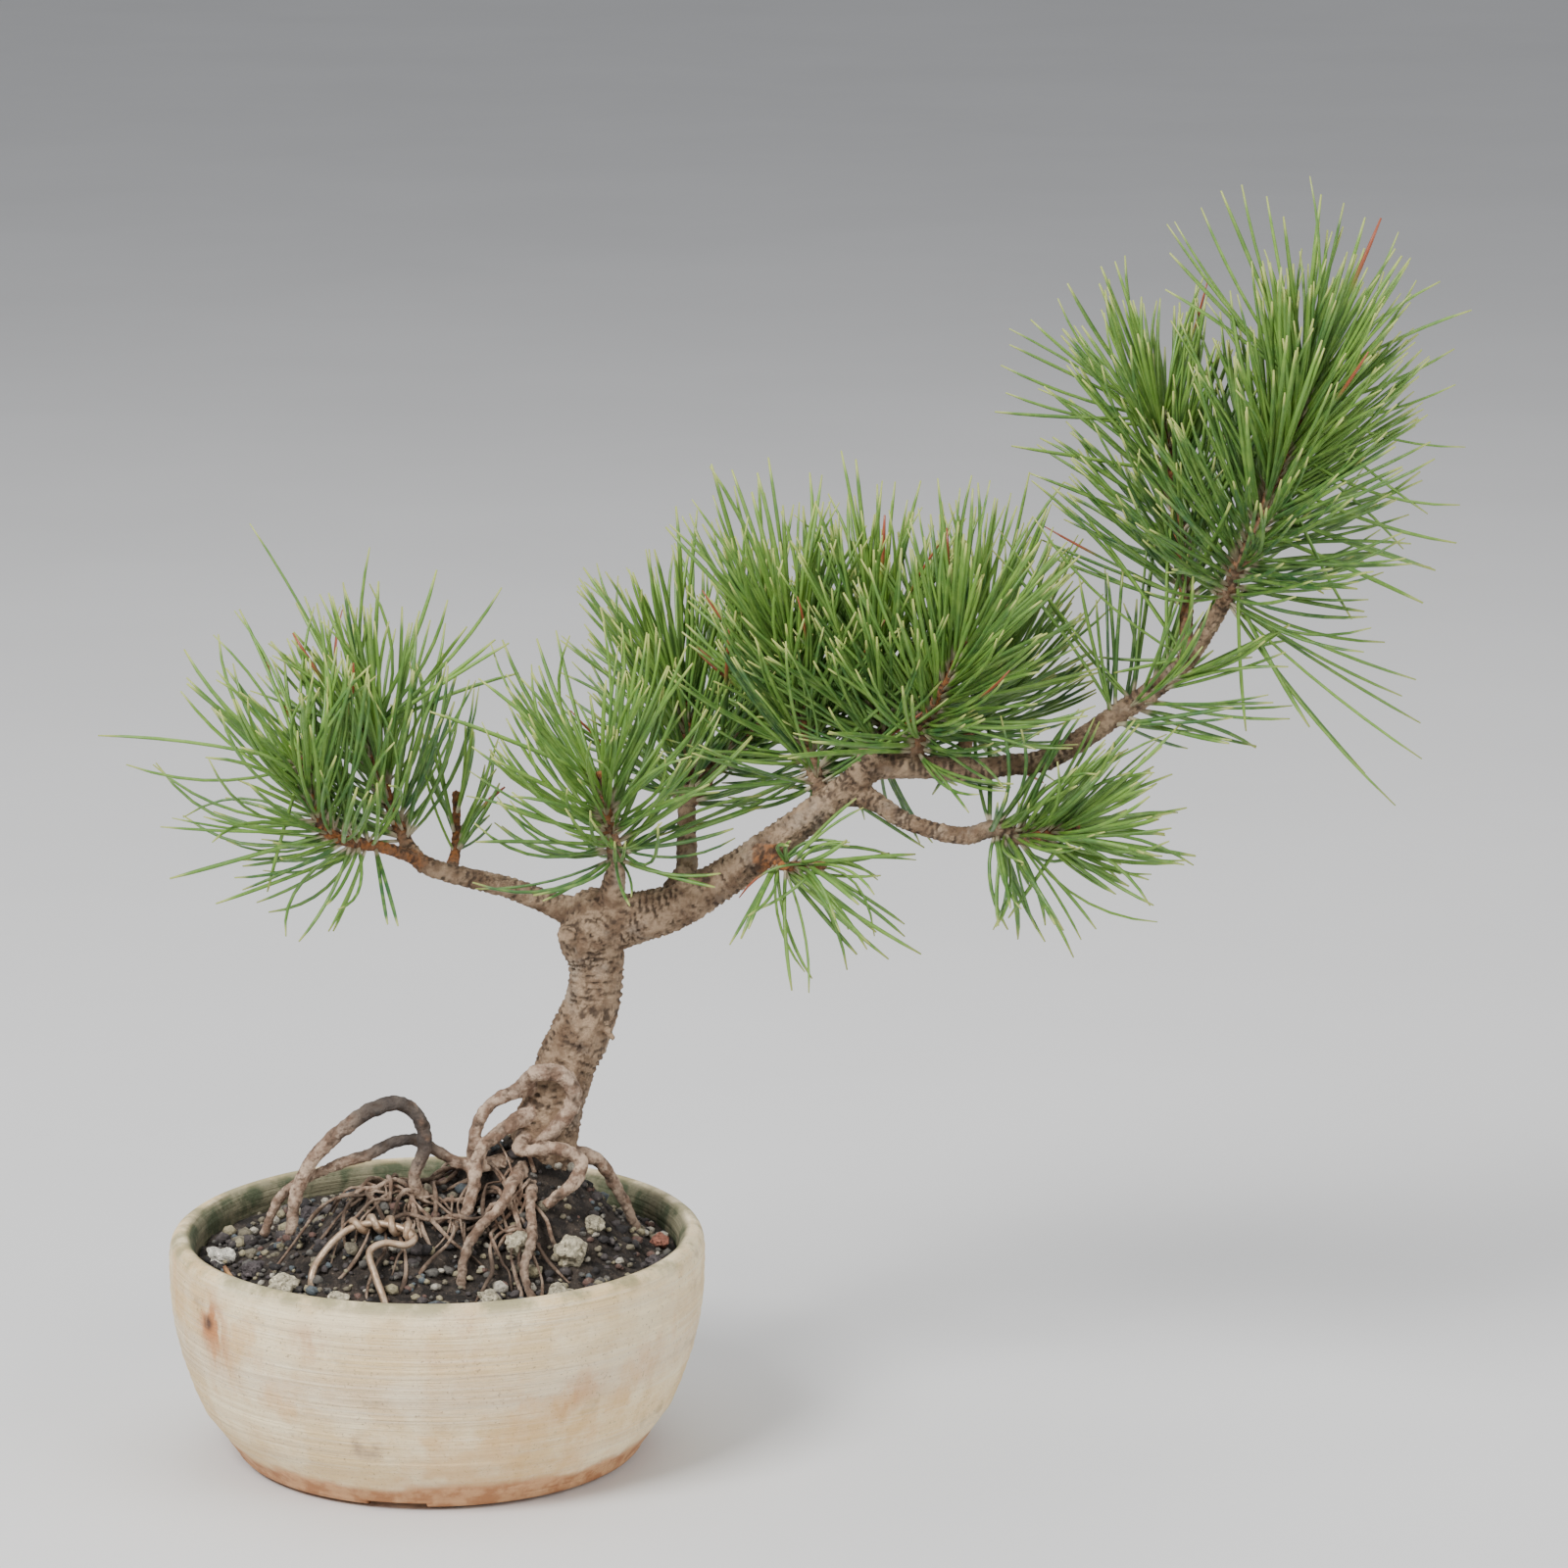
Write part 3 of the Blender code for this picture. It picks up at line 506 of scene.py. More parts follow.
# %% Grit
GRIT_TONES = [(0.030, 0.026, 0.026), (0.075, 0.062, 0.060), (0.13, 0.12, 0.105), (0.22, 0.19, 0.13),
              (0.36, 0.31, 0.19), (0.16, 0.09, 0.07), (0.11, 0.13, 0.14), (0.52, 0.47, 0.38)]
GRIT_SHARES = [6, 8, 8, 6, 5, 3, 3, 2]
GRIT_FIELD = 66
GRIT_SIZES = (1.3, 5.2)


def grit():
    f = Finish("grit_finish", 0.92)
    reader = f.tree.nodes.new("ShaderNodeAttribute")
    reader.attribute_name = "tone"
    colour = f.wash(reader.outputs["Color"], f.mottle(900, 0.5, 0.65), 0.55, (0.03, 0.025, 0.02))
    colour = f.wash(colour, f.mottle(500, 0.55, 0.75, (1, 1, 1), (4, 4, 4)), 0.3, (0.5, 0.45, 0.36))
    return f.done(colour, None, f.mottle(1400, 0.3, 0.7), 0.3)


def pebble(bm, chance, size, centre, faces_level=1, squash=0.75):
    """A ball pushed out of round, turned any way and laid down at its centre."""
    verts = bmesh.ops.create_icosphere(bm, subdivisions=faces_level, radius=size / 2)["verts"]
    seed = Vector([chance.uniform(-50, 50) for _ in range(3)])
    for vert in verts:
        way = vert.co.normalized()
        lump = noise.noise(way * 1.1 + seed) * 0.45 + noise.noise(way * 2.6 + seed) * 0.2
        lump += noise.noise(way * 6 + seed) * 0.07 if faces_level > 2 else 0
        vert.co *= 1 + lump
    bmesh.ops.scale(bm, vec=(chance.uniform(0.9, 1.25), chance.uniform(0.8, 1.0), squash), verts=verts)
    spin = Matrix.Rotation(chance.uniform(0, 6.3), 3, "Z")
    tilt = Matrix.Rotation(chance.uniform(-0.5, 0.5), 3, "X")
    bmesh.ops.rotate(bm, cent=(0, 0, 0), matrix=spin @ tilt, verts=verts)
    bmesh.ops.translate(bm, vec=centre, verts=verts)
    return verts


def make_grit(material, count=1700):
    chance = random.Random(4)
    bm = bmesh.new()
    tone = bm.verts.layers.float_color.new("tone")
    finest, coarsest = GRIT_SIZES
    for _ in range(count):
        radius = GRIT_FIELD * math.sqrt(chance.random())
        turn = chance.uniform(0, 2 * math.pi)
        x, y = radius * math.cos(turn), radius * math.sin(turn)
        size = min(coarsest, finest + chance.expovariate(1.1))
        level = soil_height(x, y) + size * 0.12 - 0.2
        colour = chance.choices(GRIT_TONES, GRIT_SHARES)[0]
        for vert in pebble(bm, chance, size, (x, y, level)):
            vert[tone] = (*colour, 1)
    add_piece("grit", to_mesh(bm, "grit"), material)


make_grit(grit())

# %% [markdown]
# ## The larger stones
# The stones that catch the eye are pumice and lava, pitted and rough. Each one in the frame gets a finer
# stone. Its centre and size come from the node's box, so it stays where the frame has it.

# %% Stones
STONE_TONES = {"pumice": (0.46, 0.405, 0.285), "lava": (0.085, 0.07, 0.07), "grit": (0.16, 0.15, 0.13)}
OWN_TONES = {"pumice_white": (0.62, 0.58, 0.5), "grit_red": (0.30, 0.12, 0.08)}


def stone_finish(name, tone):
    f = Finish(name, 0.95)
    pale = tuple(min(1, value * 1.45) for value in tone)
    dark = tuple(value * 0.42 for value in tone)
    colour = f.mix(f.mottle(420), tone, pale)
    colour = f.mix(f.mottle(800, 0.56, 0.66, (1, 1, 1), (7, 7, 7)), colour, dark)
    return f.done(colour, None, f.mottle(900, 0.35, 0.6), 0.6)


def make_stones():
    for seed, name in enumerate(sorted(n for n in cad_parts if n.split("_")[0] in STONE_TONES)):
        low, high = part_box(name)
        chance = random.Random(seed + 20)
        bm = bmesh.new()
        size = max(high - low) / MM * 1.02
        pebble(bm, chance, size, (low + high) / 2 / MM, faces_level=5, squash=0.8)
        kind = name.split("_")[0]
        shade = chance.uniform(0.8, 1.2)
        tone = OWN_TONES.get(name, tuple(min(1, value * shade) for value in STONE_TONES[kind]))
        finish = stone_finish(f"{name}_finish", tone)
        add_piece(f"{name}_stone", to_mesh(bm, name), finish, [name])


make_stones()

# %% [markdown]
# ## The wood's routes
# Trunk, branches and roots follow the same routes as the plain model, so bark and frame agree. Each point is
# x, y, z and diameter. Where two routes meet, the thinner one starts inside the thicker one.

# %% Routes of trunk and branches
TRUNK = [(27, 3, 74, 17), (30, 2, 90, 19), (33, 2, 100, 17), (36, 2, 110, 17), (40, 2, 119, 17),
         (44, 2, 129, 15.5), (45, 2, 139, 15.5), (44, 2, 147, 19), (46, 1, 154, 19), (49, 0, 158, 11)]
LEADER = [(43, 1, 149, 16), (54, 0, 153, 15), (67, -2, 157, 13), (83, -4, 167, 11), (92, -5, 174, 10),
          (105, -6, 184, 9), (116, -6, 193, 8.4), (122, -6, 198, 9), (132, -7, 198, 7),
          (149, -7, 197, 6.4), (159, -6, 198, 6.2), (169, -4, 199, 6.4), (180, -2, 205, 6.4),
          (189, 0, 211, 6.2), (199, 0, 218, 6), (207, 0, 225, 6), (212, -2, 233, 5), (217, -4, 242, 4.6),
          (220, -6, 250, 4.2), (226, -8, 264, 4), (231, -8, 278, 3.8), (235, -8, 290, 3.4),
          (239, -8, 304, 2.4)]
SECOND_LEADER = [(208, 1, 228, 4), (208, 9, 245, 3.8), (206, 14, 262, 3.4), (204, 16, 277, 3.2),
                 (200, 18, 293, 2.4)]
LEFT_BRANCH = [(44, 1, 152, 11), (35, 2, 156, 7.6), (21, 0, 162, 6.2), (11, -2, 165, 5.8),
               (-1, -4, 169, 5.2), (-6, -4, 174, 4.4), (-10, -2, 182, 3.6), (-13, 0, 190, 3.4),
               (-16, 2, 198, 3.2), (-19, 2, 207, 2.4)]
LOW_LEFT_TWIG = [(-2, -4, 170, 4), (-12, -12, 176, 3.4), (-24, -18, 180, 3.2), (-30, -20, 186, 3),
                 (-34, -22, 204, 2.4)]
LEFT_TWIG = [(5, -2, 167, 4), (6, 6, 171, 3), (6, 12, 178, 2.6), (6, 15, 186, 2.4)]
UPRIGHT_SHOOT = [(49, -1, 155, 9), (50, -4, 163, 7), (51, -8, 172, 5), (49, -12, 183, 3.8),
                 (47, -14, 198, 2.6)]
REAR_BRANCH = [(68, 2, 157, 7), (70, 12, 163, 6.4), (70, 19, 172, 5.8), (70, 27, 185, 4.6),
               (70, 34, 198, 3.8), (67, 42, 214, 2.6)]
REAR_TWIG = [(70, 24, 180, 4.4), (80, 32, 192, 3.8), (90, 36, 204, 3.4), (94, 38, 218, 2.6)]
PAD_LEFT = [(108, -4, 188, 5), (104, 8, 200, 4), (102, 10, 214, 3.4), (99, 11, 230, 2.6)]
PAD_MIDDLE = [(123, -4, 199, 5), (125, 3, 206, 4), (123, 6, 217, 3.4), (122, 8, 231, 2.6)]
PAD_RIGHT = [(133, -6, 199, 5), (135, -8, 208, 4), (141, -11, 221, 3.4), (147, -13, 234, 2.6)]
PAD_REAR = [(146, -5, 198, 4.6), (148, 8, 203, 4), (151, 20, 212, 3.6), (154, 26, 226, 2.6)]
LOW_RIGHT_BRANCH = [(114, -6, 190, 8), (121, -8, 189, 6), (130, -12, 184, 5), (140, -14, 181, 5),
                    (148, -14, 180, 5), (155, -14, 182, 5), (162, -15, 180, 4.4), (171, -16, 181, 3),
                    (178, -17, 183, 2.4)]
UNDER_TWIG = [(92, -6, 173, 4), (97, -12, 171, 3), (103, -15, 172, 2.8), (109, -17, 172, 2.4)]
BRANCHES = [LEADER, SECOND_LEADER, LEFT_BRANCH, LOW_LEFT_TWIG, LEFT_TWIG, UPRIGHT_SHOOT, REAR_BRANCH,
            REAR_TWIG, PAD_LEFT, PAD_MIDDLE, PAD_RIGHT, PAD_REAR, LOW_RIGHT_BRANCH, UNDER_TWIG]
KNOTS = [[(38, -4, 150, 7), (37, -8, 150, 5)], [(47, -3, 124, 3), (50, -6, 120, 1.4)],
         [(66, 4, 160, 6), (70, 1, 167, 5.4)], [(122, -6, 199, 9), (120, -8, 203, 6)]]

# %% Routes of the bare roots
ROOTS = [
    [(26, 3, 78, 8), (12, -6, 76, 4), (0, -16, 76, 4), (-5, -22, 84, 3.6), (-2, -21, 93, 4),
     (-3, -21, 101, 4.2), (-8, -22, 106, 4.4), (-15, -23, 105, 4.6), (-22, -24, 101, 4.4),
     (-32, -25, 92, 4.2), (-37, -26, 82, 4), (-39, -28, 70, 3)],
    [(28, 1, 86, 6), (10, -14, 86, 3.6), (-6, -19, 95, 3.4), (-18, -21, 91, 3.4), (-27, -21, 88, 3.2),
     (-41, -20, 80, 3), (-47, -22, 68, 2.6)],
    [(32, 1, 100, 7), (21, -8, 96, 4.4), (13, -13, 90, 4), (11, -18, 80, 3.8), (8, -23, 73, 3.4),
     (-2, -28, 64, 2.8)],
    [(30, 0, 106, 6), (20, -6, 104, 4), (14, -8, 100, 3.8), (11, -9, 92, 3.6), (10, -8, 80, 3)],
    [(26, 0, 92, 6), (24, -13, 90, 3.8), (34, -14, 91, 4), (41, -13, 87, 4), (39, -17, 82, 3.8),
     (31, -20, 76, 3)],
    [(26, 0, 84, 6), (22, -17, 82, 3.6), (19, -24, 77, 3.2), (12, -30, 71, 3), (9, -38, 64, 2.8),
     (9, -44, 55, 2.4)],
    [(27, 0, 82, 6), (27, -20, 77, 3.2), (28, -30, 70, 3), (26, -40, 63, 2.6), (30, -50, 55, 2.2)],
    [(28, 2, 84, 6), (43, 2, 84, 4.4), (50, 6, 74, 3.6), (56, 8, 60, 2.8), (58, 9, 52, 2.4)],
    [(26, 4, 84, 6), (22, 18, 82, 4), (18, 30, 72, 3.4), (14, 42, 58, 2.8), (12, 48, 51, 2.4)],
    [(24, -4, 106, 4.6), (29, -8, 111, 5), (36, -8, 110, 5), (39, -7, 103, 4.6), (34, -7, 95, 4),
     (28, -6, 90, 3.6)],
]
print(len(BRANCHES), "branches,", len(KNOTS), "knots,", len(ROOTS), "bare roots")

# %% [markdown]
# ## Bark
# Tubes alone look like pipes. Sculpting would cure that, but a script repeats exactly. A fine voxel remesh
# joins the tubes and melts the forks. Then every point moves along its normal: ring wrinkles and plates on
# old wood, leaf cushions on shoots, knobs on roots. An attribute keeps depth, youth and root for the finish;
# the depth is painted shade in the grooves, cracks and hollows that the carving sinks, with random dark
# patches.

# %% Remesh the wood
Spot = namedtuple("Spot", "x y z radius run old")
VOXEL = 0.62
YOUNG_RADIUS = 2.35
CUSHION_RADIUS = 2.6


def spots_along(routes, old):
    """Closely spaced points of some routes, and a tree that finds the nearest of them."""
    spots = []
    for points in routes:
        run = smooth_route(points, 1.0)
        lengths = np.append(0, np.cumsum(np.linalg.norm(np.diff(run[:, :3], axis=0), axis=1)))
        spots += [Spot(*p[:3], p[3] / 2, length, old) for p, length in zip(run, lengths)]
    tree = kdtree.KDTree(len(spots))
    for index, spot in enumerate(spots):
        tree.insert(spot[:3], index)
    tree.balance()
    return tree, spots


def remeshed(bm, voxel):
    mesh = bpy.data.meshes.new("rough")
    bm.to_mesh(mesh)
    bm.free()
    obj = bpy.data.objects.new("rough", mesh)
    bpy.context.scene.collection.objects.link(obj)
    step = obj.modifiers.new("voxels", "REMESH")
    step.mode = "VOXEL"
    step.voxel_size = voxel
    fine = bmesh.new()
    fine.from_mesh(evaluated(obj))
    bmesh.ops.smooth_vert(fine, verts=fine.verts, factor=0.5, use_axis_x=True, use_axis_y=True,
                          use_axis_z=True)
    fine.normal_update()
    return fine


# %% Carve the wood
def carve_root(at):
    """How far a point of a root moves out or in, and how much painted shade it gets where it sinks."""
    knob = noise.noise(at * 0.42) * 0.42 + noise.noise(at * 1.25) * 0.24
    # The second value is painted shade: it grows where the knob noise sinks the root.
    return knob, min(1.0, max(0.0, 0.15 - knob * 2.0))


def carve_bark(at, spot):
    """The same for bark: wrinkles round the limb, cracks between plates, and leaf cushions.
    The darkness is painted shade in the wrinkle troughs and cracks, with random dark patches.
    """
    thick = spot.radius > 3
    size = min(1.0, spot.radius / 7)
    drift = noise.noise(at * 0.12) * 2.2 + noise.noise(at * 0.55) * 0.7
    ring = 0.5 + 0.5 * math.sin((spot.run + drift) * (3.1 if thick else 3.8))
    ring = 1 - (1 - ring) * min(1.0, max(0.2, 0.75 + noise.noise(at * 0.25 + Vector((9, 0, 0)))))
    bent = at + Vector((noise.noise(at * 0.6), noise.noise(at * 0.6 + Vector((5, 0, 0))), 0)) * 2.4
    near, _ = noise.voronoi(Vector((bent.x, bent.y, bent.z * 1.5)) * (0.30 if thick else 0.6))
    patch = min(1.0, max(0.0, 0.5 + noise.noise(at * 0.2) * 1.6))
    crack = max(0.0, 1 - (near[1] - near[0]) * 5.0) * patch
    out = 0.8 * size * (ring - 0.6) - 0.42 * (0.4 + size) * crack + noise.noise(at * 1.4) * 0.24
    if not spot.old and spot.radius < CUSHION_RADIUS:
        round_limb = math.atan2(at.y - spot.y, at.x - spot.x)
        out += 0.34 * max(0.0, math.sin(spot.run * 3.1) * math.sin(3 * round_limb))
    # The second value is painted shade in cracks and wrinkle troughs, plus random dark patches from noise.
    return out, min(1.0, crack * 0.6 + (1 - ring)**2 * 0.95 + max(0.0, noise.noise(at * 0.9)) * 0.55)


def make_wood(material):
    routes = [smooth_route(points, 2.0) for points in [TRUNK, *BRANCHES, *KNOTS, *ROOTS]]
    bm = remeshed(tubes(routes), VOXEL)
    groups = [spots_along([TRUNK, *KNOTS], old=1), spots_along(BRANCHES, old=0), spots_along(ROOTS, old=0)]
    layer = bm.verts.layers.float_color.new("bark")
    moves = []
    for vert in bm.verts:
        nearest = []
        for kind, (tree, spots) in enumerate(groups):
            _, index, gap = tree.find(vert.co)
            nearest.append((gap - spots[index].radius, kind, spots[index]))
        _, kind, spot = min(nearest)
        root = kind == 2
        out, depth = carve_root(vert.co) if root else carve_bark(vert.co, spot)
        young = 0 if root or spot.old else min(1.0, max(0.0, (YOUNG_RADIUS - spot.radius) / 0.6))
        # The first channel is painted shade in grooves and hollows, with random dark patches on bark.
        vert[layer] = (depth, young, float(root), 1)
        moves.append(vert.normal * out)
    for vert, move in zip(bm.verts, moves):
        vert.co += move
    add_piece("wood", to_mesh(bm, "wood"), material, ["trunk_and_branches"])


# %% [markdown]
# ## The bark's finish
# Old bark is grey-tan over warm brown, with painted shade in its cracks and wrinkle grooves and random dark
# patches. Young shoots are orange-brown and bare roots pale and fibrous, except the arched one, whose back is
# nearly black; the roots get painted shade in their hollows. One material with masks leaves no seams.

# %% Bark
OLD_BARK = [(0.165, 0.098, 0.055), (0.37, 0.255, 0.16)]
SHOOT_BARK = [(0.36, 0.13, 0.035), (0.22, 0.10, 0.045)]
ROOT_BARK = [(0.21, 0.125, 0.08), (0.54, 0.39, 0.28)]
# The crack colour is painted shade in grooves, cracks and root hollows, and also the colour of random dark
# patches.
LICHEN, GROOVE_SHADE_AND_DARK, SOIL_STAIN = (0.40, 0.34, 0.27), (0.045, 0.026, 0.015), (0.07, 0.045, 0.03)
ARCH_TOP = (-8, -22, 103)


def bark():
    f = Finish("bark_finish", 0.86)
    depth, young, root = f.attribute("bark")[:3]
    old = f.mix(f.mottle(180, 0.36, 0.62), *OLD_BARK)
    old = f.wash(old, f.mottle(90, 0.5, 0.7, (1, 1, 1), (2, 2, 2)), 0.45, LICHEN)
    shoot = f.mix(f.mottle(420), *SHOOT_BARK)
    shoot = f.wash(shoot, f.mottle(300, 0.52, 0.64, (1, 1, 1), (6, 1, 1)), 0.8, (0.05, 0.03, 0.02))
    pale = f.mix(f.mottle(240, 0.38, 0.62), *ROOT_BARK)
    pale = f.wash(pale, f.mottle(520, 0.54, 0.66), 0.7, (0.085, 0.05, 0.03))
    black = f.times(f.spot(ARCH_TOP, 9, 16), f.mottle(120, 0.3, 0.5))
    pale = f.wash(pale, black, 0.9, (0.035, 0.03, 0.028))
    wood = f.mix(root, f.mix(young, old, shoot), pale)
    # Painted shade: the depth channel darkens the carved grooves, cracks and root hollows, with random dark
    # patches.
    wood = f.wash(wood, f.step(depth, 0.05, 1.0), 0.88, GROOVE_SHADE_AND_DARK)
    wood = f.wash(wood, f.step(f.place()[2], 0.082, 0.060), 0.5, SOIL_STAIN)
    return f.done(wood, None, f.mottle(1300, 0.3, 0.7), 0.25)


BARK = bark()
make_wood(BARK)

# %% [markdown]
# ## Fine roots
# Among the thick roots lies a tangle of hair roots. A hair system could draw it, but plain tubes export as
# they are. Each runs at random from near the trunk's foot over the mound and ends in the soil.

# %% Hair roots
ROOT_FIELD = 64


def hair_root(chance):
    """Points of one hair root, or fewer than three where it would leave the pot."""
    turn = math.radians(chance.uniform(150, 305))
    start = Vector((chance.uniform(-22, 30), chance.uniform(-26, -4)))
    stride = chance.uniform(3.5, 7)
    points = []
    for k in range(chance.randint(4, 8)):
        turn += chance.uniform(-0.75, 0.75)
        lift = math.sin((k + 0.6) / 6 * math.pi) * chance.uniform(1.0, 5.0)
        x, y = start
        if math.hypot(x, y) > ROOT_FIELD:
            break
        points.append((x, y, soil_height(x, y) + lift, chance.uniform(0.55, 1.5)))
        start = start + Vector((math.cos(turn), math.sin(turn))) * stride
    return points


def make_hair_roots(material, count=58):
    chance = random.Random(8)
    routes = []
    for _ in range(count):
        points = hair_root(chance)
        if len(points) > 2:
            x, y, z, wide = points[-1]
            points[-1] = (x, y, soil_height(x, y) - 1.5, wide * 0.6)
            routes.append(smooth_route(points, 1.6))
    bm = tubes(routes, resolution=1)
    layer = bm.verts.layers.float_color.new("bark")
    for vert in bm.verts:
        dark = min(1.0, max(0.0, 0.45 + noise.noise(vert.co * 0.12) * 1.3))
        vert[layer] = (dark, 0, 1, 0)
    add_piece("hair_roots", to_mesh(bm, "hair_roots"), material)


make_hair_roots(BARK)

# %% [markdown]
# ## Tie wire
# The wire that holds the tree is soft aluminium. It comes out of the soil, is twisted round itself and goes
# back down. Its route is listed; the twist is a second strand, a helix, as its turns follow a rule.

# %% Wire
WIRE = [(-27, -38, 38, 2), (-31, -44, 50, 2), (-32, -44, 62, 2), (-30, -40, 67, 2), (-24, -36, 73, 2),
        (-17, -35, 75.5, 2), (-9, -36, 75, 2), (-4, -39, 73, 2), (-6, -42, 71.5, 2), (-12, -42, 72, 2),
        (-16, -44, 70, 2), (-14, -50, 65, 2), (-11, -55, 58, 2), (-10, -54, 46, 2), (-12, -48, 36, 2)]
TWIST_ENDS = [(-21, -35, 74), (-4, -39, 73)]
TWIST_GAP = 1.9
STEPS_A_TURN = 7


def twist(core):
    """A strand that winds round the core."""
    strand = []
    for index, (x, y, z, wide) in enumerate(core):
        ahead, behind = core[min(index + 1, len(core) - 1)][:3], core[max(index - 1, 0)][:3]
        way = Vector(ahead - behind).normalized()
        side = way.orthogonal().normalized()
        side.rotate(Matrix.Rotation(index * 2 * math.pi / STEPS_A_TURN, 3, way))
        strand.append((*(Vector((x, y, z)) + side * TWIST_GAP), wide))
    return np.array(strand)


def wire_finish():
    f = Finish("wire_finish", 0.45, 0.55)
    colour = f.mix(f.mottle(300), (0.50, 0.37, 0.26), (0.36, 0.24, 0.15))
    return f.done(colour, f.mix(f.mottle(200), (0.35,) * 3, (0.6,) * 3), f.mottle(700), 0.05)


def make_wire(material):
    route = smooth_route(WIRE, 0.7)
    first, last = (int(np.argmin(np.linalg.norm(route[:, :3] - point, axis=1))) for point in TWIST_ENDS)
    bm = tubes([route, twist(route[first:last])])
    add_piece("wire_twisted", to_mesh(bm, "wire_twisted"), material, ["tie_wire"])


make_wire(wire_finish())

# %% [markdown]
# ## Needles
# This pine carries its needles in pairs, each pair in a short pale sheath. One needle is modelled: a narrow
# five-sided rod in seven steps, finer at its blunt tip. It could be instanced, but each needle bends its own
# way, so it is copied along a bent line. Its tone (painted shade, darker nearer the shoot's foot, with a
# random spread) and whether its tip is dry are kept in an attribute.

# %% The needle's pattern
UP = Vector((0, 0, 1))
STEPS = 7
TAPER_FROM, TAPER, TIP = 0.8, 0.85, 0.42
FLATNESS = 0.72


def needle_pattern():
    """A needle of unit length along Z: rings of five points, finer at the tip."""
    bm = bmesh.new()
    bmesh.ops.create_circle(bm, segments=5, radius=1, cap_ends=True)
    edges = list(bm.edges)
    for step in range(1, STEPS + 1):
        made = bmesh.ops.extrude_edge_only(bm, edges=edges)["geom"]
        ring = [item for item in made if isinstance(item, bmesh.types.BMVert)]
        edges = [item for item in made if isinstance(item, bmesh.types.BMEdge)
                 and all(vert in ring for vert in item.verts)]
        share = step / STEPS
        wide = 1.0 if share < TAPER_FROM else TAPER
        for vert in ring:
            vert.co.z = share
            vert.co.xy = vert.co.xy.normalized() * (wide if step < STEPS else TIP)
    bmesh.ops.contextual_create(bm, geom=edges)
    bmesh.ops.recalc_face_normals(bm, faces=bm.faces)
    mesh = bpy.data.meshes.new("needle_pattern")
    bm.to_mesh(mesh)
    bm.free()
    print("one needle has", len(mesh.polygons), "faces")
    return mesh


PATTERN = needle_pattern()
PATTERN_SPOTS = [vert.co.copy() for vert in PATTERN.vertices]


def lay_needle(bm, layer, foot, bend, tip, wide, marks):
    """Copy the pattern along the curve foot, bend, tip."""
    count = len(bm.verts)
    bm.from_mesh(PATTERN)
    bm.verts.ensure_lookup_table()
    never_parallel = Vector((0.01, 0.02, 0.03))
    side = (tip - foot).cross(bend - foot + never_parallel).normalized()
    rails = []
    for step in range(STEPS + 1):
        t = step / STEPS
        at = foot * (1 - t)**2 + bend * (2 * t * (1 - t)) + tip * t**2
        way = ((bend - foot) * (1 - t) + (tip - bend) * t).normalized()
        rails.append((at, way.cross(side).normalized()))
    for spot, vert in zip(PATTERN_SPOTS, bm.verts[count:]):
        at, over = rails[round(spot.z * STEPS)]
        vert.co = at + side * spot.x * wide + over * spot.y * wide * FLATNESS
        vert[layer] = (spot.z, *marks)


# %% [markdown]
# ## The shoots
# A shoot says where on its twig the needles start, how many pairs, how long, how many degrees they open at
# foot and tip, and how much they rise. A spiral sets them round the twig, as buds grow. Last come the depth
# and the ends of single needles that draw its outline.

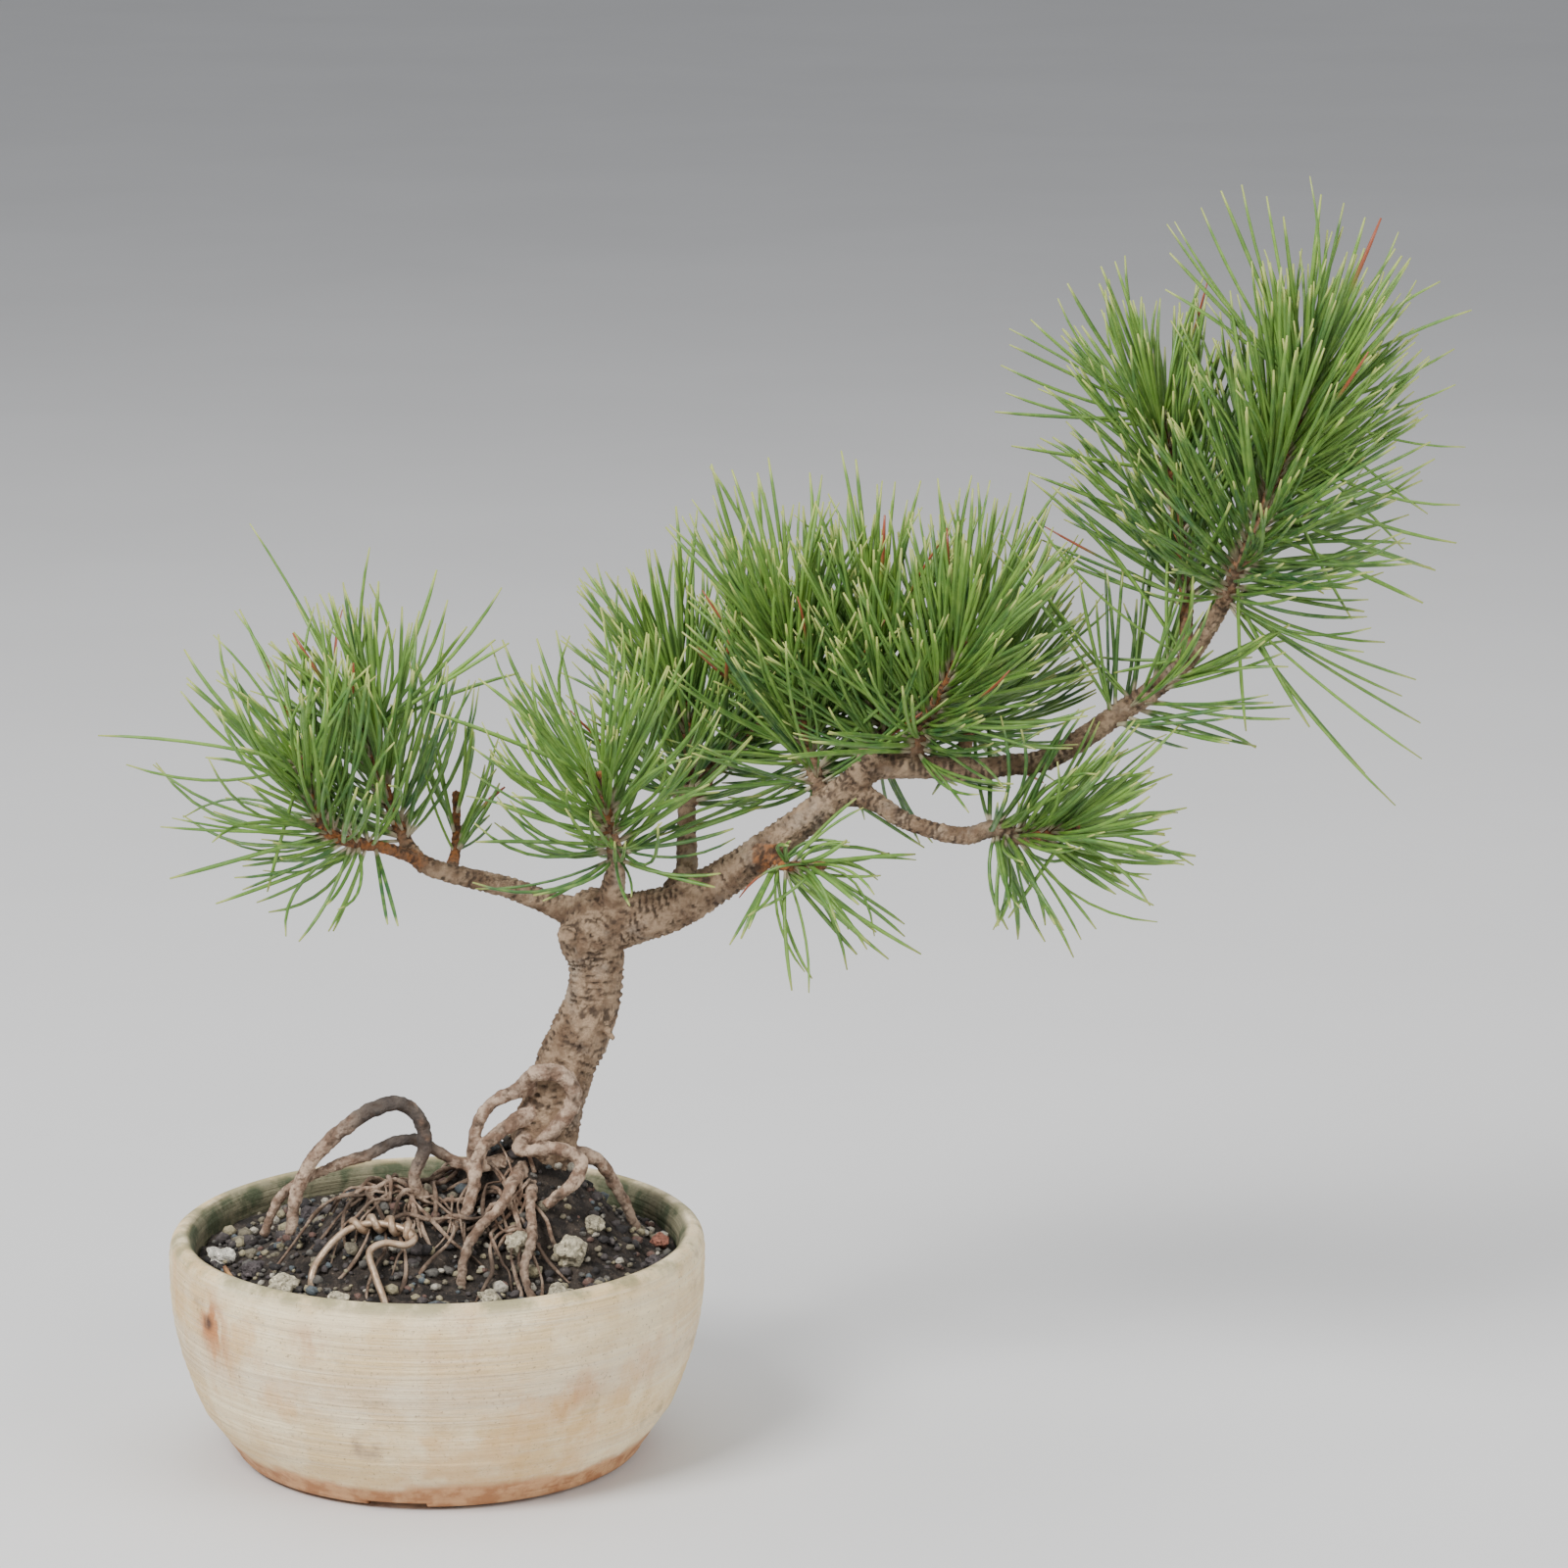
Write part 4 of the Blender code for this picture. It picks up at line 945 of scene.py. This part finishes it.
# %% Shoots
Shoot = namedtuple("Shoot", "route start pairs length wide narrow rise depth ends")
UPPER_BRANCH = [(186, -2, 208, 6.2), (194, 0, 214, 6.2), (203, 0, 221, 6), (209, -1, 229, 5.4)]
SHOOTS = {
    "leader": Shoot(LEADER, 0.775, 190, 47, 82, 16, 7, -6, [
        (238, 361), (242, 355), (248, 353), (253, 350), (258, 349), (263, 345), (268, 332), (275, 331),
        (283, 324), (279, 313), (279, 304), (268, 297), (282, 287), (281, 271), (272, 269), (280, 261),
        (267, 257), (276, 251), (274, 253), (271, 245), (215, 356), (221, 357), (227, 355), (232, 349),
        (210, 351), (200, 348), (203, 347), (201, 340), (200, 330), (270, 223), (267, 217), (273, 208),
        (272, 201), (265, 188), (257, 196), (241, 210), (224, 208), (252, 240), (269, 292), (262, 232)]),
    "upper_branch": Shoot(UPPER_BRANCH, 0.1, 26, 42, 62, 40, 6, -2, [
        (154, 258), (156, 263), (164, 254), (165, 268), (165, 276), (175, 272), (184, 226), (183, 243),
        (188, 223), (178, 250)]),
    "second_leader": Shoot(SECOND_LEADER, 0.22, 92, 45, 72, 18, 6, 16, [
        (191, 335), (188, 334), (184, 333), (175, 328), (172, 325), (165, 318), (159, 316), (159, 312),
        (157, 305), (158, 299), (155, 294), (160, 283), (165, 276), (175, 272)]),
    "left_shoot": Shoot(LEFT_BRANCH, 0.66, 66, 44, 68, 14, 10, 0, [
        (-49, 264), (-16, 258), (-24, 247), (2, 251), (5, 243), (20, 247), (-5, 236), (-24, 233), (22, 232),
        (24, 221), (18, 232), (10, 235)]),
    "low_left": Shoot(LOW_LEFT_TWIG, 0.34, 60, 43, 85, 25, 10, -22, [
        (-65, 234), (-62, 228), (-67, 221), (-89, 210), (-81, 203), (-69, 188), (-72, 186), (-70, 171),
        (-58, 163), (-44, 166), (-52, 196)]),
    "left_twig": Shoot(LEFT_TWIG, 0.35, 9, 28, 50, 20, 4, 8, [(-3, 197), (18, 202)]),
    "upright": Shoot(UPRIGHT_SHOOT, 0.42, 66, 40, 105, 30, 14, -14, [
        (1, 216), (14, 224), (39, 236), (60, 237), (72, 200), (21, 211), (29, 227), (52, 232)]),
    "rear_branch": Shoot(REAR_BRANCH, 0.5, 84, 45, 78, 20, 8, 38, [
        (55, 245), (53, 240), (49, 232), (51, 223), (67, 262), (73, 262), (45, 214)]),
    "rear_twig": Shoot(REAR_TWIG, 0.35, 70, 45, 72, 20, 8, 38, [(77, 275), (90, 272), (100, 262)]),
    "pad_left": Shoot(PAD_LEFT, 0.1, 104, 46, 98, 20, 8, 9, [
        (77, 278), (83, 278), (90, 278), (93, 281), (66, 264), (72, 270), (97, 268)]),
    "pad_middle": Shoot(PAD_MIDDLE, 0.08, 104, 46, 98, 18, 8, 7, [
        (113, 283), (117, 281), (116, 268), (124, 272), (131, 271), (135, 274), (106, 270)]),
    "pad_right": Shoot(PAD_RIGHT, 0.08, 104, 44, 98, 20, 8, -12, [
        (142, 272), (145, 266), (150, 277), (153, 279), (154, 258), (156, 263), (164, 254), (165, 268)]),
    "pad_rear": Shoot(PAD_REAR, 0.35, 76, 44, 76, 20, 8, 24, [
        (165, 276), (175, 272), (178, 234), (172, 221), (160, 270)]),
    "low_right": Shoot(LOW_RIGHT_BRANCH, 0.66, 60, 36, 85, 25, 5, -16, [
        (206, 211), (202, 208), (204, 196), (193, 190), (204, 185), (205, 174), (200, 156), (177, 146),
        (169, 151), (159, 157), (185, 205)]),
    "under_twig": Shoot(UNDER_TWIG, 0.35, 16, 30, 75, 35, -12, -16, [
        (135, 147), (126, 147), (115, 153), (105, 142), (103, 143), (124, 168), (85, 163), (91, 161)]),
}
print("pairs of needles:", sum(shoot.pairs for shoot in SHOOTS.values()))


# %% Where the needles of a shoot stand
GOLDEN_ANGLE = 2.39996
OUTLINE_LENGTH = 45


def pairs_of(twig, shoot, chance):
    """Foot, direction, tip and share of the way up for pairs that stand round a twig in a spiral."""
    first = int(len(twig) * shoot.start)
    for n in range(shoot.pairs):
        share = (n + chance.random()) / shoot.pairs
        index = min(len(twig) - 2, first + int(share * (len(twig) - 1 - first)))
        axis = Vector(twig[index + 1][:3] - twig[index - 1][:3]).normalized()
        side = axis.orthogonal().normalized()
        side.rotate(Matrix.Rotation(n * GOLDEN_ANGLE + chance.uniform(-0.4, 0.4), 3, axis))
        spread = shoot.wide + (shoot.narrow - shoot.wide) * share**0.8
        angle = math.radians(spread + chance.uniform(-12, 12))
        way = (axis * math.cos(angle) + side * math.sin(angle)).normalized()
        foot = Vector(twig[index][:3]) + side * twig[index][3] * 0.38
        reach = shoot.length * chance.uniform(0.72, 1.04)
        rise = UP * shoot.rise * math.sin(angle) * chance.uniform(0.3, 1.3)
        yield foot, way, foot + way * reach + rise, share


def outline_needles(twig, shoot, chance):
    """The same for the single needles whose ends draw the shoot's outline."""
    clad = twig[int(len(twig) * shoot.start):]
    for x, z in shoot.ends:
        tip = Vector((x, shoot.depth + chance.uniform(-9, 9), z))
        gaps = [abs((tip - Vector(spot[:3])).length - OUTLINE_LENGTH) for spot in clad]
        foot = Vector(clad[int(np.argmin(gaps))][:3])
        way = (tip - foot).normalized() + UP * chance.uniform(-0.25, 0.1)
        yield foot, way.normalized(), tip, 0.9


# %% [markdown]
# ## Laying the pairs
# The two needles of a pair leave one sheath and part on the way. Weak shoots curl more. A tip that would
# leave the frame's box is held back at its side, a few millimetres out.

# %% Pairs
CURL = 0.07
CURLY = {"low_left": 0.19, "left_shoot": 0.17, "left_twig": 0.16, "upright": 0.17, "under_twig": 0.2,
         "low_right": 0.17, "rear_branch": 0.12, "pad_left": 0.1}
PAST_BOX = 4
LIMITS = [tuple(value / MM + way * PAST_BOX for value in corner) for way, corner in zip((-1, 1), CAD_BOX)]
DRY_SHARE = 0.012


def lay_needles(bm, layer, chance, curl, count, foot, way, tip, share):
    """One needle or a pair from one foot."""
    # The tone is painted shade: needles nearer the shoot's foot, inside the tuft, come out darker; the gauss
    # term spreads it at random.
    tone = min(1.0, max(0.0, 0.25 + 0.55 * share + chance.gauss(0, 0.16)))
    low, high = LIMITS
    reach = (tip - foot).length
    for _ in range(count):
        off = way.orthogonal().normalized()
        off.rotate(Matrix.Rotation(chance.uniform(0, 6.3), 3, way))
        end = tip + off * (0 if count == 1 else reach * chance.uniform(0.04, 0.12))
        end = Vector(min(h, max(l, c)) for c, l, h in zip(end, low, high))
        bend = foot + way * reach * 0.52 + off * chance.gauss(0, curl * reach)
        dry = 1.0 if chance.random() < DRY_SHARE else chance.uniform(0, 0.4)
        lay_needle(bm, layer, foot, bend, end, chance.uniform(0.52, 0.7), (tone, dry, 1))


# %% [markdown]
# ## The needles' finish
# Fresh needles are mid green, with painted shade: darker nearer the shoot's foot, inside the tuft, and in
# blue-green patches at random. They are yellow-green at the very tip and almost white in the sheath. A few
# are dry and red-brown at the end. A little light passes through them, so they get a touch of subsurface
# scattering.

# %% Needle finish
SHADED_AND_FRESH_GREEN = [(0.030, 0.098, 0.024), (0.165, 0.315, 0.042)]
BRIGHT, SHADE_BLUE, YELLOW = (0.27, 0.41, 0.085), (0.035, 0.115, 0.055), (0.42, 0.45, 0.12)
SHEATH, DRY = (0.50, 0.44, 0.30), (0.28, 0.07, 0.03)


def needle_finish():
    f = Finish("needle_finish", 0.42)
    along, tone, dry = f.attribute("needle")
    # Painted shade: the dark end of this pair is the shaded green that the tone gives to inner needles.
    green = f.mix(tone, *SHADED_AND_FRESH_GREEN)
    green = f.wash(green, f.mottle(220, 0.4, 0.65), 0.4, BRIGHT)
    # Painted shade: patches of shaded blue-green at random.
    green = f.wash(green, f.mottle(60, 0.45, 0.65, (1, 1, 1), (3, 3, 3)), 0.3, SHADE_BLUE)
    green = f.wash(green, f.step(along, 0.86, 0.97), 0.75, YELLOW)
    green = f.mix(f.step(along, 0.10, 0.05), green, SHEATH)
    brown = f.times(f.step(dry, 0.5, 0.9), f.step(along, 0.55, 0.75))
    green = f.mix(brown, green, DRY)
    f.shader.inputs["Specular IOR Level"].default_value = 0.45
    f.shader.inputs["Subsurface Weight"].default_value = 0.08
    f.shader.inputs["Subsurface Radius"].default_value = (0.001, 0.002, 0.0005)
    return f.done(green, f.mix(f.mottle(500), (0.34,) * 3, (0.52,) * 3))


# %% Grow every shoot
def grow_shoot(name, shoot, material):
    """A piece of needles; the upper branch is the one that has no node in the frame to stand for."""
    chance = random.Random(name)
    curl = CURLY.get(name, CURL)
    twig = smooth_route(shoot.route, 1.2)[:-2]
    bm = bmesh.new()
    layer = bm.verts.layers.float_color.new("needle")
    for needle in pairs_of(twig, shoot, chance):
        lay_needles(bm, layer, chance, curl, 2, *needle)
    for needle in outline_needles(twig, shoot, chance):
        lay_needles(bm, layer, chance, curl, 1, *needle)
    nodes = [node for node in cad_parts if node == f"needles_{name}"]
    add_piece(f"tuft_{name}", to_mesh(bm, f"tuft_{name}"), material, nodes)


green_needles = needle_finish()
for shoot_name, shoot_plan in SHOOTS.items():
    grow_shoot(shoot_name, shoot_plan, green_needles)

# %% [markdown]
# ## Pieces kept from the frame
# The plastic grids under the soil and the two fallen needles have the right shape already. Modelling them
# again would add nothing, so they only get a finish.


# %% Finishes for the kept pieces
def plain_finish(name, roughness, scale, tones, grain):
    f = Finish(name, roughness)
    return f.done(f.mix(f.mottle(scale), *tones), None, f.mottle(900), grain)


def dress(node, material):
    node.data.materials.clear()
    node.data.materials.append(material)


grid_plastic = plain_finish("mesh_plastic", 0.5, 200, [(0.012, 0.012, 0.012), (0.05, 0.045, 0.04)], 0.1)
fresh_needle = plain_finish("fallen_green_finish", 0.4, 120, [(0.09, 0.21, 0.03), (0.2, 0.33, 0.06)], 0.05)
dry_needle = plain_finish("straw_finish", 0.6, 150, [(0.42, 0.22, 0.08), (0.20, 0.09, 0.04)], 0.05)
for grid_name in ("drain_mesh_1", "drain_mesh_2"):
    dress(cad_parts[grid_name], grid_plastic)
dress(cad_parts["fallen_needle_green"], fresh_needle)
dress(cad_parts["fallen_needle_brown"], dry_needle)

# %% [markdown]
# ## Floor, light and camera
# A pale floor that runs past the view, a large soft light from the upper left and weaker ones from the right
# and above show the form without hard shadows. The camera looks slightly down, with a long lens.

# %% Studio
FLOOR_HALF = 14000
FLOOR_TONES = [(0.66, 0.655, 0.65), (0.70, 0.695, 0.69)]
LIGHTS = {"key": ((-0.9, -1.1, 1.5), (0.08, 0, 0.15), 0.8, 56),
          "fill": ((1.3, -0.9, 0.9), (0.1, 0, 0.12), 1.2, 17),
          "top": ((0.2, 0.5, 1.7), (0.1, 0, 0.15), 1.4, 16)}
SKY, SKY_STRENGTH = (0.78, 0.80, 0.84, 1), 0.5
CAMERA_PLACE = (0.0973, -1.5627, 0.535)
CAMERA_TILT = math.radians(77.6)
CAMERA_LENS = 133


def make_floor():
    bm = bmesh.new()
    bmesh.ops.create_grid(bm, x_segments=2, y_segments=2, size=FLOOR_HALF)
    floor = bpy.data.objects.new("floor", to_mesh(bm, "floor"))
    bpy.context.scene.collection.objects.link(floor)
    f = Finish("floor_finish", 0.9)
    floor.data.materials.append(f.done(f.mix(f.mottle(3, 0.2, 0.8), *FLOOR_TONES)))


def add_light(name, place, aim, size, power):
    light = bpy.data.lights.new(name, "AREA")
    light.size = size
    light.energy = power
    obj = bpy.data.objects.new(name, light)
    bpy.context.scene.collection.objects.link(obj)
    obj.location = place
    obj.rotation_euler = (Vector(aim) - Vector(place)).to_track_quat("-Z", "Y").to_euler()
    print(name, "light:", power, "W")


def add_sky():
    world = bpy.data.worlds.new("world")
    world.use_nodes = True
    background = world.node_tree.nodes["Background"]
    background.inputs[0].default_value = SKY
    background.inputs[1].default_value = SKY_STRENGTH
    bpy.context.scene.world = world


def add_camera():
    camera = bpy.data.cameras.new("camera")
    camera.lens = CAMERA_LENS
    camera.sensor_width = 36
    camera.clip_end = 20
    obj = bpy.data.objects.new("camera", camera)
    bpy.context.scene.collection.objects.link(obj)
    obj.location = CAMERA_PLACE
    obj.rotation_euler = (CAMERA_TILT, 0, 0)
    bpy.context.scene.camera = obj


make_floor()
for light_name, light_plan in LIGHTS.items():
    add_light(light_name, *light_plan)
add_sky()
add_camera()
